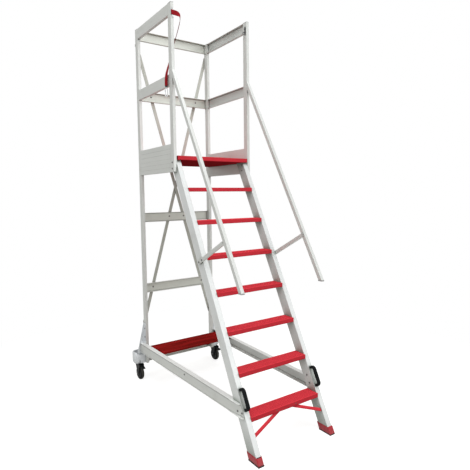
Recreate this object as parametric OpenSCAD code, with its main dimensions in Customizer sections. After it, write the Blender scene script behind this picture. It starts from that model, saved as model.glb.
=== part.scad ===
// Mobile platform steps: sloping step flight, guarded platform, braced rear frame and two braked castors.
// Millimetres. X is the width, Y runs from the feet to the castors, Z is up from the floor.

/* [Steps] */
// rise from one step to the next
step_rise = 250; // [235:5:265]
// height of the first step above the floor
first_rise = 267; // [252:5:282]
// horizontal going from one step to the next
step_going = 130; // [120:2:140]
// clear width between the stiles
step_width = 600; // [540:10:700]
// front to back size of a step
step_depth = 108; // [94:2:116]
// height of a step's front face
step_face = 31; // [28:1:38]

/* [Stiles] */
// width of a stile across the ladder
stile_width = 40; // [36:1:46]
// depth of a stile, square to its slope
stile_depth = 84; // [78:1:92]
// wall of the stiles, posts and rails
wall = 3; // [2.5:0.25:3.5]

/* [Platform and guard] */
// front face of the front posts to rear face of the rear posts
platform_depth = 697; // [620:5:780]
// thickness of the platform deck
deck_thick = 32; // [28:1:38]
// top of the guard rails above the deck
guard_height = 1139; // [1050:10:1200]
// top of the middle rails above the deck
mid_height = 619; // [560:5:680]
// top of the toe boards above the deck
toe_height = 91; // [80:2:110]
// width of a post, across the ladder
post_width = 25; // [22:1:30]
// depth of a post, along the ladder
post_depth = 50; // [44:1:56]
// height of the rail section
rail_height = 84; // [74:1:92]

/* [Handrails] */
// lower end of the handrails above the floor
hand_low = 1089; // [1000:5:1150]
// where the handrails meet the posts, above the deck
hand_join = 587; // [540:5:640]
// how far the lower end stands in front of the stiles
hand_reach = 399; // [340:5:440]

/* [Castors] */
// wheel diameter
wheel_dia = 125; // [115:1:130]
// wheel width
wheel_width = 35; // [30:1:38]
// distance from swivel axis to axle
trail = 30; // [25:1:36]

/* [Hidden] */
$fn = 64;
step_count = 7;
slope = step_going / step_rise;
tilt = atan(slope);
stile_run = stile_depth / cos(tilt);
deck_top = first_rise + step_count * step_rise;
deck_low = deck_top - deck_thick;
guard_top = deck_top + guard_height;
mid_top = deck_top + mid_height;
inner_x = step_width / 2;
stile_x = inner_x + stile_width;
post_x = stile_x + post_width;
touch = 0.2;

// feet
sole_thick = 9;
boot_top = 52;
boot_skin = 3;
boot_toe = 4;
boot_lip = 8;
boot_floor = 5;
sole_pitch = 17;

// castor bracket
housing_r = 56;
housing_over = 27;
housing_low = wheel_dia + housing_over;
housing_top = 258;
housing_floor = 40;
swivel_set = 32;
swivel_out = 47;
swivel_x = post_x + swivel_out;
gusset_top = 534;
gusset_thick = 6;
gusset_tip = 3;
gusset_reach = 69;
plate_thick = 5;
cup_wall = 13;
cup_taper = 20;
cup_foot = 12;
dip_r = 40;
dip_lift = 20;

// lengthwise layout, centred on the origin
post_set = 15;
flight_run = deck_low * slope;
foot_y = -(flight_run - post_set + platform_depth + swivel_set + housing_r - boot_toe) / 2;
function y_front(z) = foot_y + z * slope;
post_y = y_front(deck_low) - post_set;
rear_y = post_y + platform_depth;
swivel_y = rear_y + swivel_set;
rear_post_y = rear_y - post_depth;

// base rails: straight and slightly splayed, then bent in to lie on the stiles
base_over = 2;
base_low = housing_top + base_over;
base_high = base_low + rail_height;
base_flange = 37;
base_rear_gap = 1.5;
base_front_gap = 17;
base_rear_x = post_x + base_flange + base_rear_gap;
base_front_x = stile_x + base_front_gap;
stile_gap = 6;
function base_bend(z) = y_front(z) + stile_run + stile_gap;
base_bend_y = base_bend(base_high);
bend_long = 85;
base_tongue_y = base_bend_y - bend_long;
base_end_y = rear_y - gusset_thick - touch;
base_rate = (base_rear_x - base_front_x) / (rear_y - base_bend_y);
function base_x(y) = base_front_x + (y - base_bend_y) * base_rate;
tongue_set = 9;
lip_edge = 4;
lip_out = 18;
lip_start = 30;
tongue_rate = (base_front_x - stile_x - wall) / (base_bend_y - base_tongue_y);
function tongue_x(y) = base_front_x - (base_bend_y - y) * tongue_rate;

// shelf board, its ends in the base rails' channels
shelf_front_set = 345;
shelf_back_set = 107;
shelf_front = rear_y - shelf_front_set;
shelf_back = rear_y - shelf_back_set;
shelf_thick = 18;
shelf_drop = 8;
shelf_top = base_high - shelf_drop;
shelf_low = shelf_top - shelf_thick;
shelf_end_gap = 4;
ledge_over = 20;
shelf_screw_set = 50;

// guard and cross rails
rail_flange = 25;
rear_beam_over = 4;
rear_beam_low = housing_low + rear_beam_over;
rear_beam_top = rear_beam_low + rail_height;
rear_beam_high = 76;
cross_upper_drop = 464;
cross_lower_drop = 1118;
beam_drop = 125;
board_joint_drop = 23;
cross_upper = deck_top - cross_upper_drop;
cross_lower = deck_top - cross_lower_drop;
beam_low = deck_top - beam_drop;
board_joint = deck_top - board_joint_drop;

// rear braces
brace_wide = 30;
brace_thick = 5;
brace_spacer_r = 12;
brace_x = post_x - post_width / 2;
brace_top_drop = 123;
brace_foot_drop = 1482;
brace_high = guard_top - brace_top_drop;
brace_low = deck_top - brace_foot_drop;
function brace_at(z) = brace_x * (2 * (z - brace_low) / (brace_high - brace_low) - 1);

// handrails and struts
hand_run = 34;
hand_top = deck_top + hand_join;
hand_low_y = y_front(hand_low) - hand_reach;
hand_rate = (post_y - hand_low_y) / (hand_top - hand_low);
function hand_back(z) = hand_low_y + (z - hand_low) * hand_rate;
strut_z = 1222;
strut_wide = 28;
strut_thick = 12;
strut_y = y_front(strut_z) + stile_run * 0.5;
strut_end_z = strut_z + (strut_y - hand_back(strut_z)) * slope / (1 + slope * hand_rate);
strut_end_y = hand_back(strut_end_z);
strut_pad = 34;

// carry handles
handle_z = 366;
handle_half = 75;
handle_stand = 47;
handle_bar = 20;
handle_wide = 24;
handle_round = 30;

// knee braces under the first step
knee_x = 86;
knee_drop = 76;
knee_wide = 22;
knee_thick = 5;
knee_set = 8;

// castor parts
axle_r = 6;
run_gap = 0.05;
stem_r = 8;
stem_nut_r = 15;
wheel_r = wheel_dia / 2;
axle_y = swivel_y - trail;
fork_plate = 6;
crown_gap = 4;
fork_top = housing_low - 1;
leg_gap = 2.5;
leg_thick = 4;
pedal_pivot_r = 3;
pedal_ahead = 24;
pedal_over = 8;
pedal_y = axle_y - pedal_ahead;
pedal_z = wheel_dia + pedal_over;
pedal_long = 64;
pedal_wide = wheel_width - 6;
shoe_r = 3.5;
shoe_out = 20;
shoe_down = 14;

// strap and its fittings
strap_wide = 38;
strap_thick = 2.6;
strap_edge = 4;
strap_top_drop = 75;
strap_z = guard_top - strap_top_drop;
anchor_half = 36;
anchor_wide = 17;
anchor_thick = 3;
anchor_screw = 29;
anchor_x = -stile_x - anchor_wide / 2;
eye_drop = 92;
eye_set = 20;
eye_z = guard_top - eye_drop;
eye_y = post_y + eye_set;
eye_ring = 10;
eye_rod = 3;
hook_rod = 3.2;
hook_half = 11;
hook_long = 36;
hook_neck = 14;
hook_nose = 7;
ferrule_high = 8;
ferrule_r = 10;
hook_top = hook_half + hook_neck + ferrule_high - 2;
gate_r = 2.6;
gate_pin = 1.1;
gate_gap = 3;
gate_hinge = -gate_gap - gate_r - 0.6;
lug_thick = 1.4;
lug_out = gate_r + 0.4 + lug_thick;
hook_out = 13;
hook_set = 73;
hook_drop = 31;
hook_x = -post_x - hook_out;
hook_y = post_y + hook_set;
hook_z = mid_top - rail_height - hook_drop;

// bolts
bolt_r = 7;
bolt_high = 5;
rivet_r = 4;

silver = [0.76, 0.77, 0.78];
red = [0.80, 0.13, 0.17];
dark_red = [0.50, 0.06, 0.08];
black = [0.06, 0.06, 0.07];
pale_grey = [0.68, 0.69, 0.71];

// Helpers

// draws a side-view outline (Y, Z) as a plate of the given width from x0
module in_side(x0, wide) {
  translate([x0, 0, 0]) rotate([90, 0, 90]) linear_extrude(wide) children();
}

// draws a rear-view outline (X, Z) as a plate of the given thickness from y0
module in_rear(y0, thick) {
  translate([0, y0 + thick, 0]) rotate([90, 0, 0]) linear_extrude(thick) children();
}

// places children square to the stile's front face at a height
module on_stile(x, z) {
  translate([x, y_front(z), z]) rotate([-tilt, 0, 0]) children();
}

// mirrors a left-hand piece to the right
module right_side() {
  mirror([1, 0, 0]) children();
}

// a round bolt head whose base sits at the origin and points along +Z
module bolt_head(r = bolt_r) {
  cylinder(h = bolt_high * 0.6, r = r);
  cylinder(h = bolt_high, r1 = r, r2 = r * 0.6);
}

module box(low, high) {
  translate(low) cube(high - low);
}

// Stiles and steps

module stile_outline(inset, z0, z1) {
  polygon([[y_front(z0) + inset, z0], [y_front(z0) + stile_run - inset, z0],
    [y_front(z1) + stile_run - inset, z1], [y_front(z1) + inset, z1]]);
}

module stile() {
  z0 = sole_thick + boot_floor;
  difference() {
    in_side(-stile_x, stile_width) stile_outline(0, z0, deck_low);
    in_side(-stile_x + wall, stile_width - 2 * wall) stile_outline(wall / cos(tilt), z0 - 1, deck_low + 1);
  }
}

module stile_left() {
  color(silver) stile();
}

module stile_right() {
  color(silver) right_side() stile();
}

groove_pitch = 9;
groove_wide = 4;
groove_deep = 1.5;
tread_skin = 5;
tread_end = 4;
tread_lip = 14;
tread_rib_high = step_face * 0.6;
tread_back_high = step_face * 0.8;

module tread_profile() {
  difference() {
    union() {
      translate([0, -tread_skin]) square([step_depth, tread_skin]);
      translate([0, -step_face]) square([tread_skin, step_face]);
      translate([0, -step_face]) square([tread_lip, tread_end]);
      translate([step_depth - tread_skin, -tread_back_high]) square([tread_skin, tread_back_high]);
      translate([step_depth / 2, -tread_rib_high]) square([tread_end, tread_rib_high]);
    }
    for (y = [groove_pitch : groove_pitch : step_depth - groove_pitch])
      translate([y, -groove_deep]) square([groove_wide, groove_deep + 1]);
  }
}

module tread(n) {
  top = first_rise + (n - 1) * step_rise;
  translate([0, y_front(top - step_face), top]) {
    in_side(-inner_x, step_width) tread_profile();
    for (x = [-inner_x, inner_x - tread_end])
      in_side(x, tread_end) translate([0, -tread_back_high])
        square([step_depth, tread_back_high - groove_deep]);
  }
}

module tread_1() { color(red) tread(1); }
module tread_2() { color(red) tread(2); }
module tread_3() { color(red) tread(3); }
module tread_4() { color(red) tread(4); }
module tread_5() { color(red) tread(5); }
module tread_6() { color(red) tread(6); }
module tread_7() { color(red) tread(7); }

// flat bar parallel to the stile's front face, cut off under the step and at the stile
module knee() {
  top = first_rise - step_face;
  drop = knee_drop / cos(tilt);
  run = inner_x - knee_x;
  long = norm([run, drop]);
  color(red) difference() {
    on_stile(-knee_x, top) rotate([0, -atan2(drop, run), 0])
      translate([-long - knee_wide, knee_set, -knee_wide / 2])
        cube([long + 2 * knee_wide, knee_thick, knee_wide]);
    box([-step_width, foot_y - step_width, top], [step_width, 0, top + step_width]);
    box([-step_width, foot_y - step_width, 0], [-inner_x, 0, first_rise]);
  }
}

module knee_brace_left() {
  knee();
}

module knee_brace_right() {
  right_side() knee();
}

module boot() {
  back = stile_run + boot_lip;
  low = sole_thick + boot_floor;
  high = boot_top + 1;
  difference() {
    in_side(-stile_x - boot_skin, stile_width + 2 * boot_skin) polygon([
      [y_front(sole_thick) - boot_lip, sole_thick], [y_front(sole_thick) + back, sole_thick],
      [y_front(boot_top) + back, boot_top], [y_front(boot_top) - boot_lip, boot_top]]);
    in_side(-stile_x - touch, stile_width + 2 * touch) polygon([
      [y_front(low) - touch, low], [y_front(low) + stile_run + touch, low],
      [y_front(high) + stile_run + touch, high], [y_front(high) - touch, high]]);
  }
}

module boot_left() {
  color(red) boot();
}

module boot_right() {
  color(red) right_side() boot();
}

sole_groove = 3;
sole_groove_deep = 2;

module sole() {
  outer = -stile_x - boot_skin;
  inner = -inner_x + boot_skin;
  toe = foot_y - boot_toe;
  heel = y_front(sole_thick) + stile_run + boot_lip;
  difference() {
    box([outer, toe, 0], [inner, heel, sole_thick]);
    for (y = [toe + sole_pitch : sole_pitch : heel - sole_pitch])
      box([outer - 1, y, -1], [inner + 1, y + sole_groove, sole_groove_deep]);
  }
}

module foot_soles() {
  color(black) sole();
  color(black) right_side() sole();
}

// Carry handles

// outline of the bow, or of the opening when set in
module handle_bow(inset) {
  round = handle_round - inset;
  half = handle_half - inset;
  centre = handle_round - handle_stand;
  translate([centre - round, round - half]) square([handle_stand, 2 * (half - round)]);
  translate([centre, -half]) square([handle_stand, 2 * half]);
  for (s = [-1, 1])
    translate([centre, s * (half - round)]) circle(round);
}

module handle() {
  color(black) on_stile(-stile_x + stile_width / 2 - handle_wide / 2, handle_z)
    in_side(0, handle_wide) intersection() {
      translate([-handle_stand, -handle_half]) square([handle_stand, 2 * handle_half]);
      difference() {
        handle_bow(0);
        handle_bow(handle_bar);
      }
    }
}

module carry_handle_left() {
  handle();
}

module carry_handle_right() {
  right_side() handle();
}

// Platform

deck_cells = 8;
deck_skin = 3.5;
deck_over = 20;
deck_nose_set = 8;
deck_front = y_front(deck_low) - deck_over;

module deck_profile() {
  deep = rear_post_y - deck_front;
  cell = (deep - deck_skin) / deck_cells;
  difference() {
    translate([deck_front, deck_low]) square([deep, deck_thick]);
    for (k = [0 : deck_cells - 1])
      translate([deck_front + deck_skin + k * cell, deck_low + deck_skin])
        square([cell - deck_skin, deck_thick - 2 * deck_skin]);
    for (y = [groove_pitch * 2 : groove_pitch * 2 : deep - groove_pitch])
      translate([deck_front + y, deck_top - groove_deep]) square([groove_wide, groove_deep + 1]);
  }
}

module platform_deck() {
  nose_half = stile_x - deck_nose_set;
  color(red) difference() {
    in_side(-stile_x, 2 * stile_x) deck_profile();
    for (s = [-1, 1])
      box([min(s * nose_half, s * (stile_x + 1)), deck_front - 1, deck_low - 1],
        [max(s * nose_half, s * (stile_x + 1)), post_y + post_depth + touch, deck_top + 1]);
  }
}

plank_skin = 2.5;
plank_groove = 2;
plank_groove_deep = 0.8;

module plank(z0, z1) {
  half = (z1 - z0 - 3 * plank_skin) / 2;
  front = post_y + post_depth;
  long = rear_post_y - front;
  translate([0, front, 0]) rotate([90, 0, 0]) mirror([0, 0, 1]) linear_extrude(long) difference() {
    translate([-post_x, z0]) square([post_width, z1 - z0]);
    for (k = [0, 1])
      translate([-post_x + plank_skin, z0 + plank_skin + k * (half + plank_skin)])
        square([post_width - 2 * plank_skin, half]);
    for (k = [1, 2])
      translate([-post_x - 1, z0 + k * (z1 - z0) / 3]) square([1 + plank_groove_deep, plank_groove]);
  }
}

module side_beam_left() {
  color(silver) plank(beam_low, board_joint - touch);
}

module side_beam_right() {
  color(silver) right_side() plank(beam_low, board_joint - touch);
}

module toe_board_left() {
  color(silver) plank(board_joint + touch, deck_top + toe_height);
}

module toe_board_right() {
  color(silver) right_side() plank(board_joint + touch, deck_top + toe_height);
}

// Posts, rails and rear frame

module post(y0, z0) {
  difference() {
    box([-post_x, y0, z0], [-stile_x, y0 + post_depth, guard_top]);
    box([-post_x + wall, y0 + wall, z0 - 1], [-stile_x - wall, y0 + post_depth - wall, guard_top + 1]);
  }
}

module front_post_left() {
  color(silver) post(post_y, beam_low);
}

module front_post_right() {
  color(silver) right_side() post(post_y, beam_low);
}

module rear_post_left() {
  color(silver) post(rear_post_y, rear_beam_low);
}

module rear_post_right() {
  color(silver) right_side() post(rear_post_y, rear_beam_low);
}

// channel outline in (across, up): web on the left, open to the right
module channel(flange, high) {
  difference() {
    square([flange, high]);
    translate([wall, wall]) square([flange, high - 2 * wall]);
  }
}

module side_rail(top) {
  y0 = post_y + post_depth;
  translate([-post_x, y0, top - rail_height]) rotate([90, 0, 0]) mirror([0, 0, 1])
    linear_extrude(rear_post_y - y0) channel(rail_flange, rail_height);
}

module rear_rail(top, high = rail_height) {
  translate([-stile_x, rear_y, top - high]) rotate([90, 0, 90])
    linear_extrude(2 * stile_x) mirror([1, 0]) channel(rail_flange, high);
}

module top_rail_left() { color(silver) side_rail(guard_top); }
module top_rail_right() { color(silver) right_side() side_rail(guard_top); }
module top_rail_rear() { color(silver) rear_rail(guard_top); }
module mid_rail_left() { color(silver) side_rail(mid_top); }
module mid_rail_right() { color(silver) right_side() side_rail(mid_top); }
module mid_rail_rear() { color(silver) rear_rail(mid_top); }
module cross_rail_upper() { color(silver) rear_rail(cross_upper); }
module cross_rail_lower() { color(silver) rear_rail(cross_lower); }
module rear_beam() { color(silver) rear_rail(rear_beam_top, rear_beam_high); }

module brace_outline() {
  long = norm([2 * brace_x, brace_high - brace_low]);
  lean = atan(2 * brace_x / (brace_high - brace_low));
  translate([-brace_x, brace_high]) rotate(lean) {
    translate([-brace_wide / 2, -long]) square([brace_wide, long]);
    circle(brace_wide / 2);
    translate([0, -long]) circle(brace_wide / 2);
  }
}

module rear_brace_a() {
  color(silver) in_rear(rear_y, brace_thick) brace_outline();
}

brace_bolt_heights = [mid_top - 36, cross_upper - 38, cross_lower - 40];

module rear_brace_b() {
  color(silver) in_rear(rear_y + brace_thick, brace_thick) mirror([1, 0]) brace_outline();
  color(silver) in_rear(rear_y, brace_thick) {
    for (z = brace_bolt_heights)
      translate([brace_at(z), z]) circle(brace_spacer_r);
    translate([brace_x, brace_high]) circle(brace_spacer_r);
    translate([-brace_x, brace_low]) circle(brace_spacer_r);
  }
}

// Base rails and shelf

module base_web() {
  translate([0, 0, base_low]) linear_extrude(rail_height) polygon([
    [-base_x(base_end_y), base_end_y], [-base_front_x, base_bend_y],
    [-stile_x - wall, base_tongue_y], [-stile_x, base_tongue_y],
    [-base_front_x + wall, base_bend_y], [-base_x(base_end_y) + wall, base_end_y]]);
}

module base_flanges() {
  for (z = [base_low, base_high - wall])
    translate([0, 0, z]) linear_extrude(wall) polygon([
      [-base_x(base_end_y) + 1, base_end_y], [-base_front_x + 1, base_bend_y],
      [-stile_x - 1, base_tongue_y], [-stile_x - touch, base_tongue_y], [-stile_x - touch, base_bend(z)],
      [-base_front_x + base_flange, base_bend(z)], [-base_x(base_end_y) + base_flange, base_end_y]]);
}

// narrow outer lips along the web's edges that widen over the bent end
module base_lips() {
  seat = -stile_x - wall;
  start_y = base_bend_y + lip_start;
  for (z = [base_low, base_high - wall]) {
    front = y_front(z) + tongue_set;
    translate([0, 0, z]) linear_extrude(wall) polygon([
      [-base_x(base_end_y) + 1, base_end_y], [-base_x(base_end_y) - lip_edge, base_end_y],
      [-base_x(start_y) - lip_edge, start_y], [-base_front_x - lip_out * 0.4, base_bend_y],
      [seat - lip_out, base_tongue_y + lip_out], [seat - lip_out, front + lip_out],
      [seat - lip_out * 0.7, front + lip_out * 0.3], [seat, front],
      [-stile_x - 1, front], [-stile_x - 1, base_tongue_y], [-base_front_x + 1, base_bend_y]]);
  }
}

// strip inside the channel that carries the shelf's end
module shelf_ledge() {
  tip = base_flange + ledge_over;
  translate([0, 0, shelf_low - wall]) linear_extrude(wall) polygon([
    [-base_x(shelf_front) + 1, shelf_front], [-base_x(shelf_front) + tip, shelf_front],
    [-base_x(shelf_back) + tip, shelf_back], [-base_x(shelf_back) + 1, shelf_back]]);
}

module base_rail() {
  base_web();
  base_flanges();
  base_lips();
  shelf_ledge();
  in_side(-stile_x - wall, wall) polygon([[base_tongue_y, base_low], [base_tongue_y, base_high],
    [y_front(base_high) + tongue_set, base_high], [y_front(base_low) + tongue_set, base_low]]);
}

module base_rail_left() {
  color(silver) base_rail();
}

module base_rail_right() {
  color(silver) right_side() base_rail();
}

function shelf_x(y) = base_x(y) - wall - shelf_end_gap;

module shelf_board() {
  front = shelf_x(shelf_front);
  back = shelf_x(shelf_back);
  color(dark_red) translate([0, 0, shelf_low]) linear_extrude(shelf_thick) polygon([
    [-front, shelf_front], [front, shelf_front], [back, shelf_back], [-back, shelf_back]]);
}

// Castors

cavity_low = housing_low + housing_floor;

module at_swivel(z) {
  translate([-swivel_x, swivel_y, z]) children();
}

// open cup with a dip in its front rim and an arm to the post
module cup() {
  difference() {
    union() {
      at_swivel(housing_low + cup_taper) cylinder(h = housing_top - housing_low - cup_taper, r = housing_r);
      at_swivel(housing_low) cylinder(h = cup_taper, r1 = housing_r - cup_foot, r2 = housing_r);
      box([-swivel_x, rear_y - rail_flange, rear_beam_low], [-post_x, rear_y, rear_beam_top]);
    }
    at_swivel(cavity_low) cylinder(h = gusset_top, r = housing_r - cup_wall);
    translate([-swivel_x, rear_y, housing_top + dip_lift])
      rotate([90, 0, 0]) cylinder(h = housing_r, r = dip_r);
  }
}

module bracket() {
  edge = -post_x - gusset_reach;
  difference() {
    union() {
      cup();
      in_rear(rear_y - gusset_thick, gusset_thick) polygon([
        [-post_x, gusset_top], [-post_x - gusset_tip, gusset_top], [edge, housing_top],
        [edge, cavity_low - 1], [-post_x, cavity_low - 1]]);
      box([-post_x - plate_thick, rear_post_y + touch, base_high + touch], [-post_x, rear_y, gusset_top]);
    }
    at_swivel(housing_low - 1) cylinder(h = housing_floor + 2, r = stem_r + run_gap);
  }
}

module castor_bracket_left() {
  color(pale_grey) bracket();
}

module castor_bracket_right() {
  color(pale_grey) right_side() bracket();
}

leg_x = wheel_width / 2 + leg_gap;
crown_back = swivel_y + 24;
crown_front = pedal_y - 14;
leg_foot = 13;
leg_eye_r = 14;
leg_step = 6;
stem_long = housing_floor + 12;
nut_high = 10;
nut_gap = 0.5;

module fork_leg_outline() {
  top = fork_top - fork_plate;
  polygon([[crown_back, fork_top], [crown_back, top - leg_step], [axle_y + leg_foot, wheel_r],
    [axle_y - leg_foot, wheel_r], [crown_front, top - 2 * leg_step], [crown_front, fork_top]]);
  translate([axle_y, wheel_r]) circle(leg_eye_r);
}

module cross_hole(y, z, r) {
  translate([-swivel_x, y, z]) rotate([0, 90, 0]) cylinder(h = 4 * leg_x, r = r, center = true);
}

module fork() {
  crown_half = leg_x + leg_thick / 2;
  difference() {
    union() {
      for (s = [-1, 1])
        in_side(-swivel_x + s * crown_half - leg_thick / 2, leg_thick) fork_leg_outline();
      box([-swivel_x - crown_half, pedal_y + pedal_eye_r + crown_gap, wheel_dia + crown_gap],
        [-swivel_x + crown_half, crown_back, fork_top]);
      at_swivel(fork_top - 1) cylinder(h = stem_long, r = stem_r);
      at_swivel(cavity_low + nut_gap) cylinder(h = nut_high, r = stem_nut_r, $fn = 6);
    }
    cross_hole(axle_y, wheel_r, axle_r);
    cross_hole(pedal_y, pedal_z, pedal_pivot_r + run_gap);
  }
}

module castor_fork_left() {
  color(black) fork();
}

module castor_fork_right() {
  color(black) translate([2 * swivel_x, 0, 0]) fork();
}

axle_head_r = axle_r + 3;
axle_head = 4;

module axle() {
  half = leg_x + leg_thick;
  translate([-swivel_x, axle_y, wheel_r]) rotate([0, 90, 0]) {
    cylinder(h = 2 * half, r = axle_r, center = true);
    for (s = [-1, 1])
      translate([0, 0, s * (half + axle_head / 2)]) cylinder(h = axle_head, r = axle_head_r, center = true);
  }
}

module castor_axle_left() {
  color(silver) axle();
}

module castor_axle_right() {
  color(silver) translate([2 * swivel_x, 0, 0]) axle();
}

hub_r = axle_r + 10;
hub_over = 1.5;
web_set = 5;
rim_r = wheel_r * 0.74;
tyre_side = wheel_r - 9;
tyre_round = 2;

// one half of the wheel's section, from the bore out to the tread
function wheel_half(h) = [
  [axle_r + run_gap, h + hub_over], [hub_r, h + hub_over], [hub_r + tyre_round, h - web_set],
  [rim_r - web_set, h - web_set], [rim_r, h], [tyre_side, h],
  [wheel_r - tyre_round, h * 0.65], [wheel_r, h * 0.3]];

module wheel() {
  outer = wheel_half(wheel_width / 2);
  count = len(outer);
  inner = [for (k = [1 : count]) [outer[count - k][0], -outer[count - k][1]]];
  translate([-swivel_x, axle_y, wheel_r]) rotate([0, 90, 0]) rotate_extrude() polygon(concat(outer, inner));
}

module castor_wheel_left() {
  color(black) wheel();
}

module castor_wheel_right() {
  color(black) translate([2 * swivel_x, 0, 0]) wheel();
}

pedal_eye_r = 6;

module pedal() {
  half = leg_x + leg_thick;
  tip = pedal_y - pedal_long;
  translate([-swivel_x, pedal_y, pedal_z]) rotate([0, 90, 0])
    cylinder(h = 2 * half, r = pedal_pivot_r, center = true);
  in_side(-swivel_x - pedal_wide / 2, pedal_wide) {
    translate([pedal_y, pedal_z]) circle(pedal_eye_r);
    polygon([[pedal_y, pedal_z + pedal_eye_r], [pedal_y, pedal_z - 4], [tip + 12, pedal_z - 6],
      [tip, pedal_z - 12], [tip - 6, pedal_z - 8], [tip + 6, pedal_z + 2]]);
    translate([pedal_y - shoe_out, pedal_z - shoe_down]) circle(shoe_r);
    translate([pedal_y - shoe_out - shoe_r, pedal_z - shoe_down]) square([2 * shoe_r, shoe_down]);
  }
}

module brake_pedal_left() {
  color(black) pedal();
}

module brake_pedal_right() {
  color(black) translate([2 * swivel_x, 0, 0]) pedal();
}

// Handrails

module hand_outline(inset) {
  polygon([[post_y, hand_top + inset / hand_rate], [hand_low_y - inset, hand_low],
    [hand_low_y - hand_run + inset, hand_low], [post_y, hand_top + (hand_run - inset) / hand_rate]]);
}

module handrail() {
  difference() {
    in_side(-post_x, post_width) hand_outline(0);
    difference() {
      in_side(-post_x + wall, post_width - 2 * wall) hand_outline(wall * 1.15);
      box([-post_x - 1, post_y - wall, hand_low], [-stile_x + 1, post_y + 1, guard_top]);
    }
  }
}

module handrail_left() {
  color(silver) handrail();
}

module handrail_right() {
  color(silver) right_side() handrail();
}

strut_bolt_gap = 45;
strut_lap = 22;

module strut() {
  turn = atan2(strut_end_z - strut_z, strut_end_y - strut_y);
  long = norm([strut_end_z - strut_z, strut_end_y - strut_y]);
  front = hand_low_y - step_width;
  in_side(-stile_x - strut_thick, strut_thick) difference() {
    translate([strut_y, strut_z]) rotate(turn) {
      circle(strut_wide / 2);
      translate([0, -strut_wide / 2]) square([long + strut_wide, strut_wide]);
    }
    polygon([[hand_low_y + touch, hand_low], [hand_back(hand_top) + touch, hand_top],
      [front, hand_top], [front, hand_low]]);
  }
  in_side(-stile_x, wall) translate([strut_end_y, strut_end_z]) rotate(turn)
    translate([-strut_pad, -strut_wide / 2]) square([strut_pad + strut_lap, strut_wide]);
}

module handrail_strut_left() {
  color(silver) strut();
}

module handrail_strut_right() {
  color(silver) right_side() strut();
}

cap_high = 3;
cap_plug = 20;
cap_over = 1;
hand_cap_high = 8;

module post_cap(y0) {
  plug = wall + touch;
  box([-post_x, y0, guard_top], [-stile_x, y0 + post_depth, guard_top + cap_high]);
  box([-post_x + plug, y0 + plug, guard_top - cap_plug],
    [-stile_x - plug, y0 + post_depth - plug, guard_top]);
}

module hand_cap() {
  box([-post_x - cap_over, hand_low_y - hand_run - cap_over, hand_low - hand_cap_high],
    [-stile_x + cap_over, hand_low_y + cap_over, hand_low]);
}

module left_caps() {
  post_cap(post_y);
  post_cap(rear_post_y);
  hand_cap();
}

module tube_caps() {
  color(pale_grey) left_caps();
  color(pale_grey) right_side() left_caps();
}

// Bolts

module outward(x, y, z, r = bolt_r, turn = 0) {
  translate([-x, y, z]) rotate([0, 0, turn]) rotate([0, -90, 0]) bolt_head(r);
}

module inward(x, y, z, r = bolt_r) {
  translate([-x, y, z]) rotate([0, 90, 0]) bolt_head(r);
}

module frontward(x, y, z, r = bolt_r) {
  translate([x, y, z]) rotate([90, 0, 0]) bolt_head(r);
}

stile_bolt_drops = [20, 68];
post_bolt_set = 29;
bracket_bolt_rises = [60, 140];
tongue_bolt_set = 21;
inner_bolt_rises = [54, 106];

module left_bolts() {
  post_bolt_y = post_y + post_bolt_set;
  strut_face = stile_x + strut_thick;
  bend_bolt_y = base_tongue_y + tongue_bolt_set;
  for (drop = stile_bolt_drops) {
    outward(post_x, post_bolt_y, deck_low - drop);
    inward(inner_x, post_bolt_y, deck_low - drop);
  }
  outward(tongue_x(bend_bolt_y), bend_bolt_y, base_low + rail_height / 3, turn = atan(tongue_rate));
  outward(stile_x + wall, y_front(base_low + rail_height / 3) + tongue_bolt_set, base_low + rail_height / 3);
  for (rise = inner_bolt_rises)
    inward(inner_x, y_front(base_low + rise) + stile_run / 2, base_low + rise);
  outward(base_x(0) + touch, 0, base_low + rail_height * 0.6);
  for (rise = bracket_bolt_rises)
    outward(post_x + plate_thick, rear_post_y + post_depth * 0.3, base_high + rise);
  for (y = [shelf_front + shelf_screw_set, shelf_back - shelf_screw_set])
    translate([-base_x(y) + base_flange + ledge_over / 2, y, shelf_low - wall])
      rotate([180, 0, 0]) bolt_head(rivet_r);
  outward(strut_face, strut_y, strut_z);
  outward(strut_face, strut_y - strut_bolt_gap * cos(tilt), strut_z + strut_bolt_gap * sin(tilt));
  outward(strut_face, strut_end_y + strut_pad / 2, strut_end_z - strut_pad / 4, rivet_r);
  inward(stile_x - wall, strut_end_y - strut_lap / 2, strut_end_z + strut_lap / 4, rivet_r);
  frontward(-stile_x + strut_lap, rear_y - wall, rear_beam_top - rear_beam_high + bolt_r * 2);
}

module strap_screws() {
  for (s = [-1, 1])
    frontward(anchor_x, post_y - anchor_thick, strap_z + s * anchor_screw, rivet_r);
}

module frame_bolts() {
  color(pale_grey) {
    left_bolts();
    right_side() left_bolts();
    for (z = brace_bolt_heights, s = [-1, 1])
      frontward(s * brace_at(z), rear_y - wall, z);
    for (s = [-1, 1]) {
      frontward(s * knee_x, y_front(first_rise - step_face), first_rise - step_face / 2, rivet_r);
      frontward(s * (post_x - post_width / 2), post_y, hand_top - hand_run + 2 * rivet_r, rivet_r);
    }
    strap_screws();
  }
}

// Strap, hook and catch

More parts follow.
